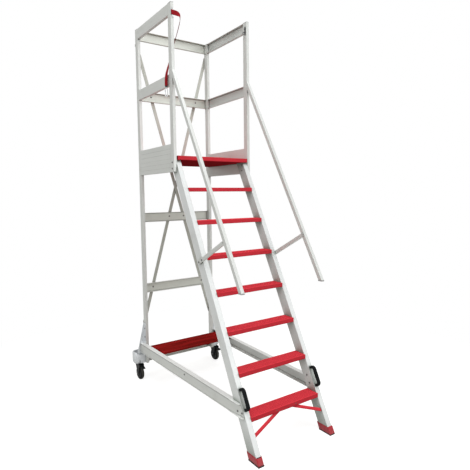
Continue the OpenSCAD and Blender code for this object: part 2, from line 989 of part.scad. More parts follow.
// strap route by hand: place and the direction across the webbing at each point
strap_start = [-post_x + strap_edge, post_y - anchor_thick - strap_thick / 2, strap_z];
strap_drop = strap_z - hook_z - hook_top;
strap_plan = 528;
strap_points = [
  [[0, 0, 0], [0, 0, 1]], [[13, 0, 0], [0, 0, 1]], [[24, 0, -1], [0, 0, 1]], [[46, -1, -3], [0.05, 0.05, 1]],
  [[64, -1, -9], [0.2, 0.3, 0.9]], [[74, 2, -22], [0.4, 0.6, 0.7]], [[78, 10, -42], [0.44, 0.8, 0.4]],
  [[77, 20, -66], [0.44, 0.9, 0.15]], [[73, 34, -100], [0.44, 0.9, 0.1]], [[66, 48, -140], [0.42, 0.9, 0]],
  [[56, 62, -185], [0.35, 0.95, 0]], [[44, 72, -235], [0.2, 1, 0]], [[30, 78, -290], [0.1, 1, 0]],
  [[15, 80, -345], [-0.05, 1, 0]], [[-1, 79, -395], [-0.25, 0.97, 0]], [[-15, 77, -445], [-0.4, 0.9, 0]],
  [[-17, 76.5, -490], [-0.45, 0.9, 0]], [[-17, 77.3, -strap_plan], [-0.45, 0.9, 0]]];

function unit(v) = v / norm(v);
function strap_place(i) = let(p = strap_points[i][0])
  strap_start + [p[0], p[1], p[2] * strap_drop / strap_plan];
function strap_dir(i) = unit(strap_place(min(i + 1, len(strap_points) - 1)) - strap_place(max(i - 1, 0)));
function strap_across(i) = let(w = strap_points[i][1], t = strap_dir(i)) unit(w - (w * t) * t);
function strap_ring(i) = let(c = strap_place(i), w = strap_across(i), n = cross(strap_dir(i), w),
  a = strap_wide / 2, b = strap_thick / 2)
  [c - a * w, c - 0.92 * a * w + b * n, c + 0.92 * a * w + b * n, c + a * w,
   c + 0.92 * a * w - b * n, c - 0.92 * a * w - b * n];

module safety_strap() {
  sides = 6;
  last = len(strap_points) - 1;
  rings = [for (i = [0 : last], p = strap_ring(i)) p];
  near = [for (i = [0 : last - 1], k = [0 : sides - 1])
    [i * sides + k, i * sides + (k + 1) % sides, (i + 1) * sides + k]];
  far = [for (i = [0 : last - 1], k = [0 : sides - 1])
    [i * sides + (k + 1) % sides, (i + 1) * sides + (k + 1) % sides, (i + 1) * sides + k]];
  heads = [for (k = [1 : sides - 2]) [0, k + 1, k]];
  tails = [for (k = [1 : sides - 2]) [last * sides, last * sides + k, last * sides + k + 1]];
  color(red) polyhedron(rings, concat(near, far, heads, tails), convexity = 6);
}

// plate on the post that holds the webbing's fixed end
module strap_anchor() {
  color(pale_grey) box([anchor_x - anchor_wide / 2, post_y - anchor_thick, strap_z - anchor_half],
    [anchor_x + anchor_wide / 2, post_y, strap_z + anchor_half]);
}

eye_plate = 3;
eye_plate_half = 10;
eye_plate_top = 54;
eye_screw = 40;

module catch_eye() {
  face = stile_x - eye_plate;
  color(pale_grey) {
    box([face, eye_y - eye_plate_half, eye_z - 2 * eye_rod],
      [stile_x, eye_y + eye_plate_half, eye_z + eye_plate_top]);
    translate([face, eye_y, eye_z + eye_screw]) rotate([0, -90, 0]) bolt_head(rivet_r);
    translate([face - eye_ring, eye_y, eye_z]) rotate([90, 0, 0])
      rotate_extrude() translate([eye_ring, 0]) circle(eye_rod);
  }
}

// the hook hangs in the plane across the webbing
hook_turn = atan2(0.9, -0.45);

module hook_frame() {
  translate([hook_x, hook_y, hook_z]) rotate([0, 0, hook_turn]) children();
}

module bend(r, turn) {
  rotate([90, 0, 0]) rotate_extrude(angle = turn) translate([r, 0]) circle(hook_rod);
}

module snap_hook() {
  lug_low = gate_hinge - hook_rod;
  color(silver) hook_frame() {
    translate([-hook_half, 0, -hook_long]) cylinder(h = hook_long, r = hook_rod);
    bend(hook_half, 180);
    translate([0, 0, -hook_long]) rotate([0, 180, 0]) bend(hook_half, 180);
    translate([hook_half, 0, -hook_long]) cylinder(h = hook_nose, r = hook_rod);
    translate([0, 0, hook_half]) cylinder(h = hook_neck, r = hook_rod + 0.8);
    translate([0, 0, hook_top - ferrule_high]) cylinder(h = ferrule_high, r = ferrule_r);
    difference() {
      union() {
        translate([hook_half, 0, -gate_gap]) cylinder(h = gate_gap, r = lug_out);
        for (s = [-1, 1])
          translate([hook_half - hook_rod, s * (lug_out - lug_thick / 2) - lug_thick / 2, lug_low])
            cube([2 * hook_rod, lug_thick, -lug_low]);
      }
      translate([hook_half, 0, gate_hinge]) rotate([90, 0, 0])
        cylinder(h = 4 * lug_out, r = gate_pin + run_gap, center = true);
    }
  }
}

module hook_gate() {
  low = -hook_long + hook_nose + gate_gap / 5;
  color(silver) hook_frame() {
    translate([hook_half, 0, low]) cylinder(h = gate_hinge - low, r = gate_r);
    translate([hook_half, 0, gate_hinge]) sphere(gate_r);
    translate([hook_half, 0, gate_hinge]) rotate([90, 0, 0])
      cylinder(h = 2 * lug_out, r = gate_pin, center = true);
  }
}

stile_left();
stile_right();
tread_1();
tread_2();
tread_3();
tread_4();
tread_5();
tread_6();
tread_7();
platform_deck();
side_beam_left();
side_beam_right();
toe_board_left();
toe_board_right();
front_post_left();
front_post_right();
rear_post_left();
rear_post_right();
top_rail_left();
top_rail_right();
top_rail_rear();
mid_rail_left();
mid_rail_right();
mid_rail_rear();
cross_rail_upper();
cross_rail_lower();
rear_brace_a();
rear_brace_b();
base_rail_left();
base_rail_right();
shelf_board();
rear_beam();
castor_bracket_left();
castor_bracket_right();
castor_fork_left();
castor_fork_right();
castor_axle_left();
castor_axle_right();
castor_wheel_left();
castor_wheel_right();
brake_pedal_left();
brake_pedal_right();
carry_handle_left();
carry_handle_right();
knee_brace_left();
knee_brace_right();
boot_left();
boot_right();
foot_soles();
handrail_left();
handrail_right();
handrail_strut_left();
handrail_strut_right();
tube_caps();
frame_bolts();
safety_strap();
strap_anchor();
catch_eye();
snap_hook();
hook_gate();
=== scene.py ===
import math

import bmesh
import bpy
import numpy as np
from mathutils import Matrix, Vector


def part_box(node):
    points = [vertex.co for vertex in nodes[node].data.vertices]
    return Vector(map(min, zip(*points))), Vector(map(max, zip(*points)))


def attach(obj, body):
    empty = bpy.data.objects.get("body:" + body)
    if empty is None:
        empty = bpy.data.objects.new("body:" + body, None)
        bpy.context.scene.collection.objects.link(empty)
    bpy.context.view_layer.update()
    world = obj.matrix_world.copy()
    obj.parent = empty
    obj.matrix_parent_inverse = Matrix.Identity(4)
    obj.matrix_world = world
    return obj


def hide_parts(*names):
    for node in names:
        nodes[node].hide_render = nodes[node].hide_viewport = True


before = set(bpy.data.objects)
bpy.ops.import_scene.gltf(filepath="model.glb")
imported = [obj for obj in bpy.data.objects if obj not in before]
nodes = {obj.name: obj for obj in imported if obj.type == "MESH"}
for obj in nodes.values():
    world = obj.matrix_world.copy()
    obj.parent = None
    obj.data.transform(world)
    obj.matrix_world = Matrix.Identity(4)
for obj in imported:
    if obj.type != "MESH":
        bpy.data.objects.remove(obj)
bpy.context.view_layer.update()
scene = bpy.context.scene
bothSides = ("left", "right")
nearby = 1e-5  # metres: points closer than this count as one
print("frame loaded:", len(nodes), "nodes")

# camera, at the photograph's viewing angle
cameraSet = {
    "place": (-1.91464, -2.94674, 1.70111),
    "yaw": 34.61531,  # degrees to the right of +Y
    "pitch": 5.15491,  # degrees down
    "roll": 0.62424,  # degrees clockwise
    "lens": 33.338,
    "sensor": 36.0,
}


def addCamera(values):
    yaw, pitch, roll = (math.radians(values[k]) for k in ("yaw", "pitch", "roll"))
    forward = Vector((math.sin(yaw) * math.cos(pitch), math.cos(yaw) * math.cos(pitch), -math.sin(pitch)))
    right = Vector((math.cos(yaw), -math.sin(yaw), 0))
    down = forward.cross(right)
    acrossFrame = right * math.cos(roll) + down * math.sin(roll)
    upFrame = right * math.sin(roll) - down * math.cos(roll)
    data = bpy.data.cameras.new("photoCamera")
    data.sensor_width = values["sensor"]
    data.lens = values["lens"]
    camera = bpy.data.objects.new("photoCamera", data)
    turn = Matrix((acrossFrame, upFrame, -forward)).transposed().to_4x4()
    camera.matrix_world = Matrix.Translation(values["place"]) @ turn
    scene.collection.objects.link(camera)
    scene.camera = camera


addCamera(cameraSet)
print("camera set")


# helpers for settings and node trees
def setAll(thing, settings):
    for key, value in settings.items():
        setattr(thing, key, value)


def fillInputs(tree, node, inputs):
    for key, value in inputs.items():
        if isinstance(value, bpy.types.NodeSocket):
            tree.links.new(value, node.inputs[key])
        else:
            node.inputs[key].default_value = value


def addNode(tree, kind, inputs=None, **settings):
    node = tree.nodes.new(kind)
    setAll(node, settings)
    fillInputs(tree, node, inputs or {})
    return node


def outputOf(tree, kind, inputs=None, **settings):
    return addNode(tree, kind, inputs, **settings).outputs[0]


def doMath(tree, operation, first, second=0.0):
    return outputOf(tree, "ShaderNodeMath", {0: first, 1: second}, operation=operation)


def vectorMath(tree, operation, first, second=(0.0, 0.0, 0.0)):
    return addNode(tree, "ShaderNodeVectorMath", {0: first, 1: second}, operation=operation).outputs


def vectorOf(tree, x=0.0, y=0.0, z=0.0):
    return outputOf(tree, "ShaderNodeCombineXYZ", {0: x, 1: y, 2: z})


def heightOf(tree, vector):
    return addNode(tree, "ShaderNodeSeparateXYZ", {0: vector}).outputs["Z"]


def mixColour(tree, factor, first, second):
    return addNode(tree, "ShaderNodeMix", {0: factor, 6: first, 7: second}, data_type="RGBA").outputs[2]


def mixPart(tree, mask, share, first, second):
    return mixColour(tree, doMath(tree, "MULTIPLY", mask, share), first, second)


def mapRange(tree, value, low, high, toLow=0.0, toHigh=1.0):
    inputs = {"Value": value, "From Min": low, "From Max": high, "To Min": toLow, "To Max": toHigh}
    return addNode(tree, "ShaderNodeMapRange", inputs).outputs["Result"]


def between(tree, mask, low, high):
    return mapRange(tree, mask, 0.0, 1.0, low, high)


def stepAt(tree, value, place, soft):
    return mapRange(tree, value, place - soft, place + soft)


noiseSpan = (0.3, 0.7)  # most values of a noise lie between these


def spreadOf(tree, noise, low, high):
    return mapRange(tree, noise, *noiseSpan, low, high)


def noiseOf(tree, vector, scale, detail=3.0, roughness=0.55):
    inputs = {"Vector": vector, "Scale": scale, "Detail": detail, "Roughness": roughness}
    return addNode(tree, "ShaderNodeTexNoise", inputs).outputs["Fac"]


def roundedNormal(tree, radius, samples=4):
    return outputOf(tree, "ShaderNodeBevel", {"Radius": radius}, samples=samples)


def bumpOf(tree, height, sizes):
    return outputOf(tree, "ShaderNodeBump", {"Height": height, **sizes})


def rgb(red, green, blue):
    return (red, green, blue, 1.0)


# node groups: an input is given as its first value, or as a kind of socket where it has none
def newTree(name, kind, inputs, outputs):
    tree = bpy.data.node_groups.new(name, kind)
    for label, first in inputs.items():
        hasValue = not isinstance(first, str)
        socketKind = "NodeSocketFloat" if hasValue else first
        socket = tree.interface.new_socket(label, in_out="INPUT", socket_type=socketKind)
        if hasValue:
            socket.default_value = first
    for label, socketKind in outputs.items():
        tree.interface.new_socket(label, in_out="OUTPUT", socket_type=socketKind)
    return tree, tree.nodes.new("NodeGroupInput").outputs, tree.nodes.new("NodeGroupOutput")


def newGroup(name, inputs, outputs):
    return newTree(name, "ShaderNodeTree", inputs, dict.fromkeys(outputs, "NodeSocketFloat"))


def placedGroup(tree, group, inputs):
    return addNode(tree, "ShaderNodeGroup", inputs, node_tree=group).outputs


def maskOf(tree, group, coords, sizes):
    return placedGroup(tree, group, {"Vector": coords, **sizes})["Mask"]


# shader groups that several finishes share: lines along a piece, with slow clouds
def makeDrawnGrain(detail=4.0, roughness=0.65):
    tree, given, end = newGroup("drawnGrain", {
        "Vector": "NodeSocketVector", "Along": 1.5, "Across": 420.0, "Cloud Scale": 5.0,
    }, ["Streak", "Cloud"])
    stretch = vectorOf(tree, given["Along"], given["Across"], given["Across"])
    drawn = vectorMath(tree, "MULTIPLY", given["Vector"], stretch)["Vector"]
    fillInputs(tree, end, {
        "Streak": noiseOf(tree, drawn, 1.0, detail, roughness),
        "Cloud": noiseOf(tree, given["Vector"], given["Cloud Scale"]),
    })
    return tree


# edges rubbed bright in patches: flat and sharp are cosines between the surface and its rounded form
def makeEdgeRub(flat=0.98, sharp=0.8, patchLow=0.35, patchHigh=0.65, least=0.25):
    tree, given, end = newGroup("edgeRub", {
        "Vector": "NodeSocketVector", "Radius": 0.002, "Patch Scale": 40.0}, ["Mask"])
    surface = addNode(tree, "ShaderNodeNewGeometry").outputs["Normal"]
    facing = vectorMath(tree, "DOT_PRODUCT", roundedNormal(tree, given["Radius"]), surface)["Value"]
    noise = noiseOf(tree, given["Vector"], given["Patch Scale"])
    patches = mapRange(tree, noise, patchLow, patchHigh, least, 1.0)
    fillInputs(tree, end, {"Mask": doMath(tree, "MULTIPLY", mapRange(tree, facing, flat, sharp), patches)})
    return tree


# painted shade in corners and gaps, by the share of free sky, with less of it on level tops; also the masks
# for painting level tops lighter and undersides darker
def makePaintedLightAndShade(free=0.97, shut=0.42, slanting=0.3, level=0.9, topShadeShare=0.15, underStart=-0.1,
                    underFull=-0.8, samples=6):
    tree, given, end = newGroup("paintedLightAndShade", {
        "Reach": 0.01, "Round": 0.001}, ["Mask", "Closed", "Upward", "Under"])
    sky = addNode(tree, "ShaderNodeAmbientOcclusion", {"Distance": given["Reach"]}, samples=samples)
    # painted shade: the less free sky, the darker
    closed = mapRange(tree, sky.outputs["AO"], free, shut)
    # which way the surface faces, for painted light on level tops and painted shade on undersides
    facing = heightOf(tree, roundedNormal(tree, given["Round"]))
    upward = mapRange(tree, facing, slanting, level)
    fillInputs(tree, end, {
        "Mask": doMath(tree, "MULTIPLY", closed, between(tree, upward, 1.0, topShadeShare)),
        "Closed": closed,
        "Upward": upward,
        "Under": mapRange(tree, facing, underStart, underFull),
    })
    return tree


# smears from hands and boots
def makeHandledSoil(span=0.25, detail=6.0, roughness=0.62):
    tree, given, end = newGroup("handledSoil", {
        "Vector": "NodeSocketVector", "Scale": 6.0, "Start": 0.5}, ["Mask"])
    smear = noiseOf(tree, given["Vector"], given["Scale"], detail, roughness)
    full = doMath(tree, "ADD", given["Start"], span)
    fillInputs(tree, end, {"Mask": mapRange(tree, smear, given["Start"], full)})
    return tree


# fine pebbled skin of mouldings, castings and coats
def makeMouldGrain(speckDetail=2.0, toneScale=9.0, toneDetail=4.0):
    tree, given, end = newGroup("mouldGrain", {
        "Vector": "NodeSocketVector", "Scale": 900.0}, ["Height", "Tone"])
    cells = addNode(tree, "ShaderNodeTexVoronoi", {"Vector": given["Vector"], "Scale": given["Scale"]})
    speck = noiseOf(tree, given["Vector"], given["Scale"], speckDetail)
    fillInputs(tree, end, {
        "Height": doMath(tree, "ADD", cells.outputs["Distance"], speck),
        "Tone": noiseOf(tree, given["Vector"], toneScale, toneDetail),
    })
    return tree


# dust that thins out upwards from the floor
def makeFloorDust(scale=60.0, detail=6.0, roughness=0.7, low=0.4, high=0.65):
    tree, given, end = newGroup("floorDust", {"Vector": "NodeSocketVector", "Reach": 0.08}, ["Mask"])
    fade = mapRange(tree, heightOf(tree, given["Vector"]), 0.0, given["Reach"], 1.0, 0.0)
    specks = mapRange(tree, noiseOf(tree, given["Vector"], scale, detail, roughness), low, high)
    fillInputs(tree, end, {"Mask": doMath(tree, "MULTIPLY", fade, specks)})
    return tree


drawnGrain = makeDrawnGrain()
edgeRub = makeEdgeRub()
paintedLightAndShade = makePaintedLightAndShade()
handledSoil = makeHandledSoil()
mouldGrain = makeMouldGrain()
floorDust = makeFloorDust()


def emptyTree(owner):
    owner.use_nodes = True
    owner.node_tree.nodes.clear()
    return owner.node_tree


def newFinish(name, values):
    material = bpy.data.materials.new(name)
    tree = emptyTree(material)
    shader = addNode(tree, "ShaderNodeBsdfPrincipled", {"Specular IOR Level": values["specular"]})
    addNode(tree, "ShaderNodeOutputMaterial", {"Surface": shader.outputs["BSDF"]})
    coords = addNode(tree, "ShaderNodeTexCoord").outputs["Object"]
    return material, tree, shader, coords


def soiledSheen(tree, noise, soil, values):
    sheen = spreadOf(tree, noise, values["smooth"], values["rough"])
    return doMath(tree, "ADD", sheen, doMath(tree, "MULTIPLY", soil, values["soilRough"]))


# satin extruded alloy, with its draw lines along the piece, painted lighter on level tops and darker in gaps
alloySet = {
    "dull": rgb(0.575, 0.585, 0.565),
    "clean": rgb(0.685, 0.695, 0.68),
    "rubbed": rgb(0.80, 0.805, 0.795),
    "rub": {"Radius": 0.0015},
    "rubMix": 0.7,
    # painted light: share by which level tops are mixed towards the rubbed colour
    "topLightMix": 0.5,
    "soiled": rgb(0.46, 0.46, 0.425),
    "soil": {"Scale": 4.5, "Start": 0.56},
    "soilMix": 0.35,
    "soilRough": 0.08,
    # painted shade: the colour that gaps and corners darken towards
    "paintedShading": rgb(0.10, 0.10, 0.088),
    "gaps": {"Reach": 0.010},
    "gapShadeMix": 0.9,
    "metal": 0.3,
    "smooth": 0.38,
    "rough": 0.54,
    "specular": 0.2,
    "bump": {"Strength": 0.12, "Distance": 0.0004},
}
# stiles: a lighter copy of the alloy, painted light, with an olive painted shade in gaps reaching 0.25 m
# that darkens the inner faces between the treads
stileAlloySet = dict(
    alloySet, dull=rgb(0.64, 0.655, 0.65), clean=rgb(0.77, 0.785, 0.79), rubbed=rgb(0.85, 0.86, 0.86),
    paintedShading=rgb(0.070, 0.105, 0.055), gaps={"Reach": 0.25})
# base rails: paler rubbed colour and a larger share for painted light on the level tops, and a painted
# shadow line under the lip
baseAlloySet = dict(
    alloySet, rubbed=rgb(0.90, 0.905, 0.895), topLightMix=0.9,
    lipShadowLine={"below": 0.009, "half": 0.007, "mix": 0.5})  # dark line on the webs, under the lip
# rear and cross rails: a darker, warmer copy of the alloy, painted shade
shadedRearAlloySet = dict(alloySet, dull=rgb(0.565, 0.57, 0.525), clean=rgb(0.67, 0.675, 0.63))
# rear braces: a darker copy of the alloy, painted shade under the deck
shadedBraceAlloySet = dict(
    alloySet, dull=rgb(0.46, 0.47, 0.43), clean=rgb(0.56, 0.57, 0.525), metal=0.15, specular=0.1)


# painted shadow: a dark band on the web at a fixed height under the lip
def lipShadowLine(tree, coords, values):
    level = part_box("base_rail_left")[1].z - values["below"]
    away = doMath(tree, "ABSOLUTE", doMath(tree, "SUBTRACT", heightOf(tree, coords), level))
    return mapRange(tree, away, 0.0, values["half"], values["mix"], 0.0)


def makeAlloy(name, turn, values):
    material, tree, shader, coords = newFinish(name, values)
    angles = [math.radians(a) for a in turn]
    turned = outputOf(tree, "ShaderNodeMapping", {"Vector": coords, "Rotation": angles})
    grain = placedGroup(tree, drawnGrain, {"Vector": turned})
    soil = maskOf(tree, handledSoil, coords, values["soil"])
    rub = maskOf(tree, edgeRub, coords, values["rub"])
    paintedShading = placedGroup(tree, paintedLightAndShade, values["gaps"])
    tone = mixColour(tree, grain["Streak"], values["dull"], values["clean"])
    worn = mixPart(tree, soil, values["soilMix"], tone, values["soiled"])
    bright = mixPart(tree, rub, values["rubMix"], worn, values["rubbed"])
    # painted light: level tops lighter, towards the rubbed colour, which also serves the rubbed edges
    litTop = mixPart(tree, paintedShading["Upward"], values["topLightMix"], bright, values["rubbed"])
    # painted shade in gaps and corners, where little sky is free
    gapShade = doMath(tree, "MULTIPLY", paintedShading["Mask"], values["gapShadeMix"])
    # painted shadow under the base rail's lip
    if "lipShadowLine" in values:
        gapShade = doMath(tree, "MAXIMUM", gapShade, lipShadowLine(tree, coords, values["lipShadowLine"]))
    fillInputs(tree, shader, {
        "Base Color": mixColour(tree, gapShade, litTop, values["paintedShading"]),
        "Metallic": values["metal"],
        "Roughness": soiledSheen(tree, grain["Cloud"], soil, values),
        "Normal": bumpOf(tree, grain["Streak"], values["bump"]),
    })
    return material


# red powder coat of the steps, the deck and the knee braces, painted lighter on level tops and darker on
# undersides and in gaps
redCoatSet = {
    "deep": rgb(0.63, 0.039, 0.056),
    "fresh": rgb(0.74, 0.048, 0.068),
    "rubbed": rgb(0.80, 0.110, 0.130),
    "rub": {"Radius": 0.0012, "Patch Scale": 70.0},
    "rubMix": 0.6,
    "scuffed": rgb(0.52, 0.034, 0.047),
    "soil": {"Scale": 14.0, "Start": 0.54},
    "soilMix": 0.3,
    "soilRough": 0.12,
    # painted shade colour, for gaps and undersides
    "paintedShading": rgb(0.10, 0.002, 0.005),
    "gaps": {"Reach": 0.007, "Round": 0.014},  # reach of the painted shade in gaps, and how far round the edges the painted top light and underside shade go
    "gapShadeMix": 0.8,
    # painted light: the colour level tops are mixed towards
    "litTop": rgb(0.90, 0.066, 0.088),
    "topLightMix": 0.8,
    # share of painted shade on undersides
    "underShadeMix": 0.5,
    "smooth": 0.40,
    "rough": 0.56,
    "specular": 0.0,
    "peel": 700.0,
    "bump": {"Strength": 0.08, "Distance": 0.0003},
}


def makeRedCoat(values=redCoatSet):
    material, tree, shader, coords = newFinish("redCoat", values)
    peel = placedGroup(tree, mouldGrain, {"Vector": coords, "Scale": values["peel"]})
    soil = maskOf(tree, handledSoil, coords, values["soil"])
    rub = maskOf(tree, edgeRub, coords, values["rub"])
    paintedShading = placedGroup(tree, paintedLightAndShade, values["gaps"])
    tone = mixColour(tree, peel["Tone"], values["deep"], values["fresh"])
    trodden = mixPart(tree, soil, values["soilMix"], tone, values["scuffed"])
    rubbed = mixPart(tree, rub, values["rubMix"], trodden, values["rubbed"])
    # painted light on level tops
    litTop = mixPart(tree, paintedShading["Upward"], values["topLightMix"], rubbed, values["litTop"])
    # painted shade on undersides
    shadedUnder = mixPart(tree, paintedShading["Under"], values["underShadeMix"], litTop, values["paintedShading"])
    fillInputs(tree, shader, {
        # painted shade in gaps and corners
        "Base Color": mixPart(tree, paintedShading["Closed"], values["gapShadeMix"], shadedUnder, values["paintedShading"]),
        "Roughness": soiledSheen(tree, peel["Tone"], soil, values),
        "Normal": bumpOf(tree, peel["Height"], values["bump"]),
    })
    return material


# dark red film over a plywood shelf, with broad lighter bands over fine grain, a painted sheen, and painted
# shade in gaps
boardSet = {
    "deep": rgb(0.17, 0.008, 0.007),
    "fresh": rgb(0.27, 0.015, 0.012),
    "grain": {"Along": 3.0, "Across": 160.0, "Cloud Scale": 9.0},
    # painted sheen: the colour of the broad bands
    "paintedSheen": rgb(0.46, 0.020, 0.020),
    "bandGrain": {"Along": 2.0, "Across": 16.0},
    "bandStart": 0.42,
    "bandFull": 0.62,
    "bandMix": 0.75,
    "worn": rgb(0.40, 0.05, 0.04),
    "rub": {"Radius": 0.003},
    "rubMix": 0.5,
    # painted shade colour, for gaps and corners
    "paintedShading": rgb(0.020, 0.002, 0.004),
    "gaps": {"Reach": 0.06},
    "gapShadeMix": 0.85,
    "smooth": 0.52,
    "rough": 0.72,
    "specular": 0.0,
    "bump": {"Strength": 0.2, "Distance": 0.0005},
}


def makeBoard(values=boardSet):
    material, tree, shader, coords = newFinish("filmFacedBoard", values)
    grain = placedGroup(tree, drawnGrain, {"Vector": coords, **values["grain"]})
    broad = placedGroup(tree, drawnGrain, {"Vector": coords, **values["bandGrain"]})["Streak"]
    rub = maskOf(tree, edgeRub, coords, values["rub"])
    closed = placedGroup(tree, paintedLightAndShade, values["gaps"])["Closed"]
    tone = mixColour(tree, grain["Streak"], values["deep"], values["fresh"])
    # painted sheen in broad bands along the board
    sheenBands = mapRange(tree, broad, values["bandStart"], values["bandFull"], 0.0, values["bandMix"])
    withSheen = mixColour(tree, sheenBands, tone, values["paintedSheen"])
    worn = mixPart(tree, rub, values["rubMix"], withSheen, values["worn"])
    fillInputs(tree, shader, {
        # painted shade in gaps and corners
        "Base Color": mixPart(tree, closed, values["gapShadeMix"], worn, values["paintedShading"]),
        "Roughness": spreadOf(tree, grain["Cloud"], values["smooth"], values["rough"]),
        "Normal": bumpOf(tree, grain["Streak"], values["bump"]),
    })
    return material


# finishes without draw lines: castings, steel parts, painted forks, mouldings and rubber
plainMetals = {
    "castAlloy": {
        "low": rgb(0.58, 0.60, 0.62), "high": rgb(0.70, 0.72, 0.745), "rubbed": rgb(0.80, 0.81, 0.82),
        "rough": (0.42, 0.62), "metallic": 0.4, "specular": 0.5, "grain": 450.0, "bump": 0.30,
    },
    "zincSteel": {
        "low": rgb(0.48, 0.49, 0.50), "high": rgb(0.64, 0.64, 0.63), "rubbed": rgb(0.75, 0.75, 0.74),
        "rough": (0.26, 0.46), "metallic": 1.0, "specular": 0.5, "grain": 1400.0, "bump": 0.06,
    },
    "darkSteel": {
        "low": rgb(0.080, 0.081, 0.082), "high": rgb(0.150, 0.151, 0.152), "rubbed": rgb(0.22, 0.22, 0.22),
        "rough": (0.34, 0.54), "metallic": 0.3, "specular": 0.15, "grain": 1400.0, "bump": 0.06,
    },
    "brightSteel": {
        "low": rgb(0.62, 0.63, 0.64), "high": rgb(0.76, 0.765, 0.77), "rubbed": rgb(0.85, 0.85, 0.85),
        "rough": (0.12, 0.28), "metallic": 1.0, "specular": 0.5, "grain": 1600.0, "bump": 0.03,
    },
    "blackPaintedSteel": {
        "low": rgb(0.006, 0.0065, 0.007), "high": rgb(0.012, 0.0125, 0.013), "rubbed": rgb(0.07, 0.07, 0.07),
        "rough": (0.30, 0.54), "specular": 0.06, "grain": 900.0, "bump": 0.10,
    },
}
plainMouldings = {
    "blackPlastic": {
        "low": rgb(0.004, 0.005, 0.006), "high": rgb(0.009, 0.010, 0.011),
        "rubbed": rgb(0.035, 0.036, 0.037),
        "rough": (0.39, 0.55), "specular": 0.06, "grain": 1300.0, "bump": 0.12,
    },
    "redPlastic": {
        "low": rgb(0.38, 0.010, 0.020), "high": rgb(0.50, 0.014, 0.028), "rubbed": rgb(0.78, 0.16, 0.18),
        "rough": (0.17, 0.33), "specular": 0.3, "grain": 1100.0, "bump": 0.08,
        "dust": rgb(0.26, 0.11, 0.11), "dustReach": 0.05,
    },
    "greyPlastic": {
        "low": rgb(0.36, 0.365, 0.37), "high": rgb(0.46, 0.465, 0.47), "rubbed": rgb(0.58, 0.58, 0.58),
        "rough": (0.43, 0.59), "specular": 0.4, "grain": 1200.0, "bump": 0.10,
    },
    "soleRubber": {
        "low": rgb(0.040, 0.020, 0.021), "high": rgb(0.068, 0.036, 0.037),
        "rubbed": rgb(0.120, 0.075, 0.075),
        "rough": (0.65, 0.81), "specular": 0.2, "grain": 800.0, "bump": 0.25,
        "dust": rgb(0.17, 0.16, 0.15), "dustReach": 0.012,
    },
}
metalWear = {"rub": {"Radius": 0.0012, "Patch Scale": 120.0}, "mix": 0.8}
mouldingWear = {"rub": {"Radius": 0.0015, "Patch Scale": 90.0}, "mix": 0.7}
plainRule = {"bumpDepth": 0.0004, "dustMix": 0.6, "metallic": 0.0}


def makePlain(name, row, wear):
    values = {**plainRule, **row}
    material, tree, shader, coords = newFinish(name, values)
    skin = placedGroup(tree, mouldGrain, {"Vector": coords, "Scale": values["grain"]})
    tone = mixColour(tree, skin["Tone"], values["low"], values["high"])
    colour = mixPart(tree, maskOf(tree, edgeRub, coords, wear["rub"]), wear["mix"], tone, values["rubbed"])
    if "dust" in values:
        dust = maskOf(tree, floorDust, coords, {"Reach": values["dustReach"]})
        colour = mixPart(tree, dust, values["dustMix"], colour, values["dust"])
    pebbles = {"Strength": values["bump"], "Distance": values["bumpDepth"]}
    fillInputs(tree, shader, {
        "Base Color": colour,
        "Metallic": values["metallic"],
        "Roughness": spreadOf(tree, skin["Tone"], *values["rough"]),
        "Normal": bumpOf(tree, skin["Height"], pebbles),
    })
    return material


# wheel: black tyre round a dark grey hub, told apart by the distance from the axle
wheelSet = {
    "tyreLow": rgb(0.006, 0.006, 0.006),
    "tyreHigh": rgb(0.014, 0.0135, 0.013),
    "hubLow": rgb(0.022, 0.023, 0.024),
    "hubHigh": rgb(0.045, 0.046, 0.048),
    "dust": rgb(0.15, 0.148, 0.135),
    "dustDepth": 0.004,
    "rimShare": 0.76,  # of the wheel's radius
    "rimSoft": 0.0006,
    "tyreRough": 0.66,
    "hubRough": 0.42,
    "specular": 0.06,
    "grain": 700.0,
    "bump": {"Strength": 0.2, "Distance": 0.0004},
}


def wheelOf(side):
    low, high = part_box("castor_wheel_" + side)
    return (low + high) / 2, (high.z - low.z) / 2, (high.x - low.x) / 2


def makeWheelFinish(side, values=wheelSet):
    centre, radius = wheelOf(side)[:2]
    material, tree, shader, coords = newFinish("wheelFinish" + side.capitalize(), values)
    moved = outputOf(tree, "ShaderNodeMapping", {"Vector": coords, "Location": -centre})
    fromAxle = vectorMath(tree, "MULTIPLY", moved, (0.0, 1.0, 1.0))["Vector"]
    reach = vectorMath(tree, "LENGTH", fromAxle)["Value"]
    isTyre = stepAt(tree, reach, radius * values["rimShare"], values["rimSoft"])
    skin = placedGroup(tree, mouldGrain, {"Vector": coords, "Scale": values["grain"]})
    hub = mixColour(tree, skin["Tone"], values["hubLow"], values["hubHigh"])
    tyre = mixColour(tree, skin["Tone"], values["tyreLow"], values["tyreHigh"])
    road = mapRange(tree, reach, radius - values["dustDepth"], radius)
    dusty = mixPart(tree, road, skin["Tone"], tyre, values["dust"])
    fillInputs(tree, shader, {
        "Base Color": mixColour(tree, isTyre, hub, dusty),
        "Roughness": between(tree, isTyre, values["hubRough"], values["tyreRough"]),
        "Normal": bumpOf(tree, skin["Height"], values["bump"]),
    })
    return material


# snap hook: black ferrule at the top, bright wire below
hookSet = {
    "ferrule": rgb(0.018, 0.018, 0.020),
    "wireLow": rgb(0.50, 0.51, 0.52),
    "wireHigh": rgb(0.72, 0.725, 0.73),
    "ferruleHigh": 0.0085,
    "ferruleSoft": 0.0003,
    "ferruleRough": 0.5,
    "wireRough": 0.22,
    "specular": 0.3,
    "grain": 1600.0,
    "bump": {"Strength": 0.05, "Distance": 0.0003},
}


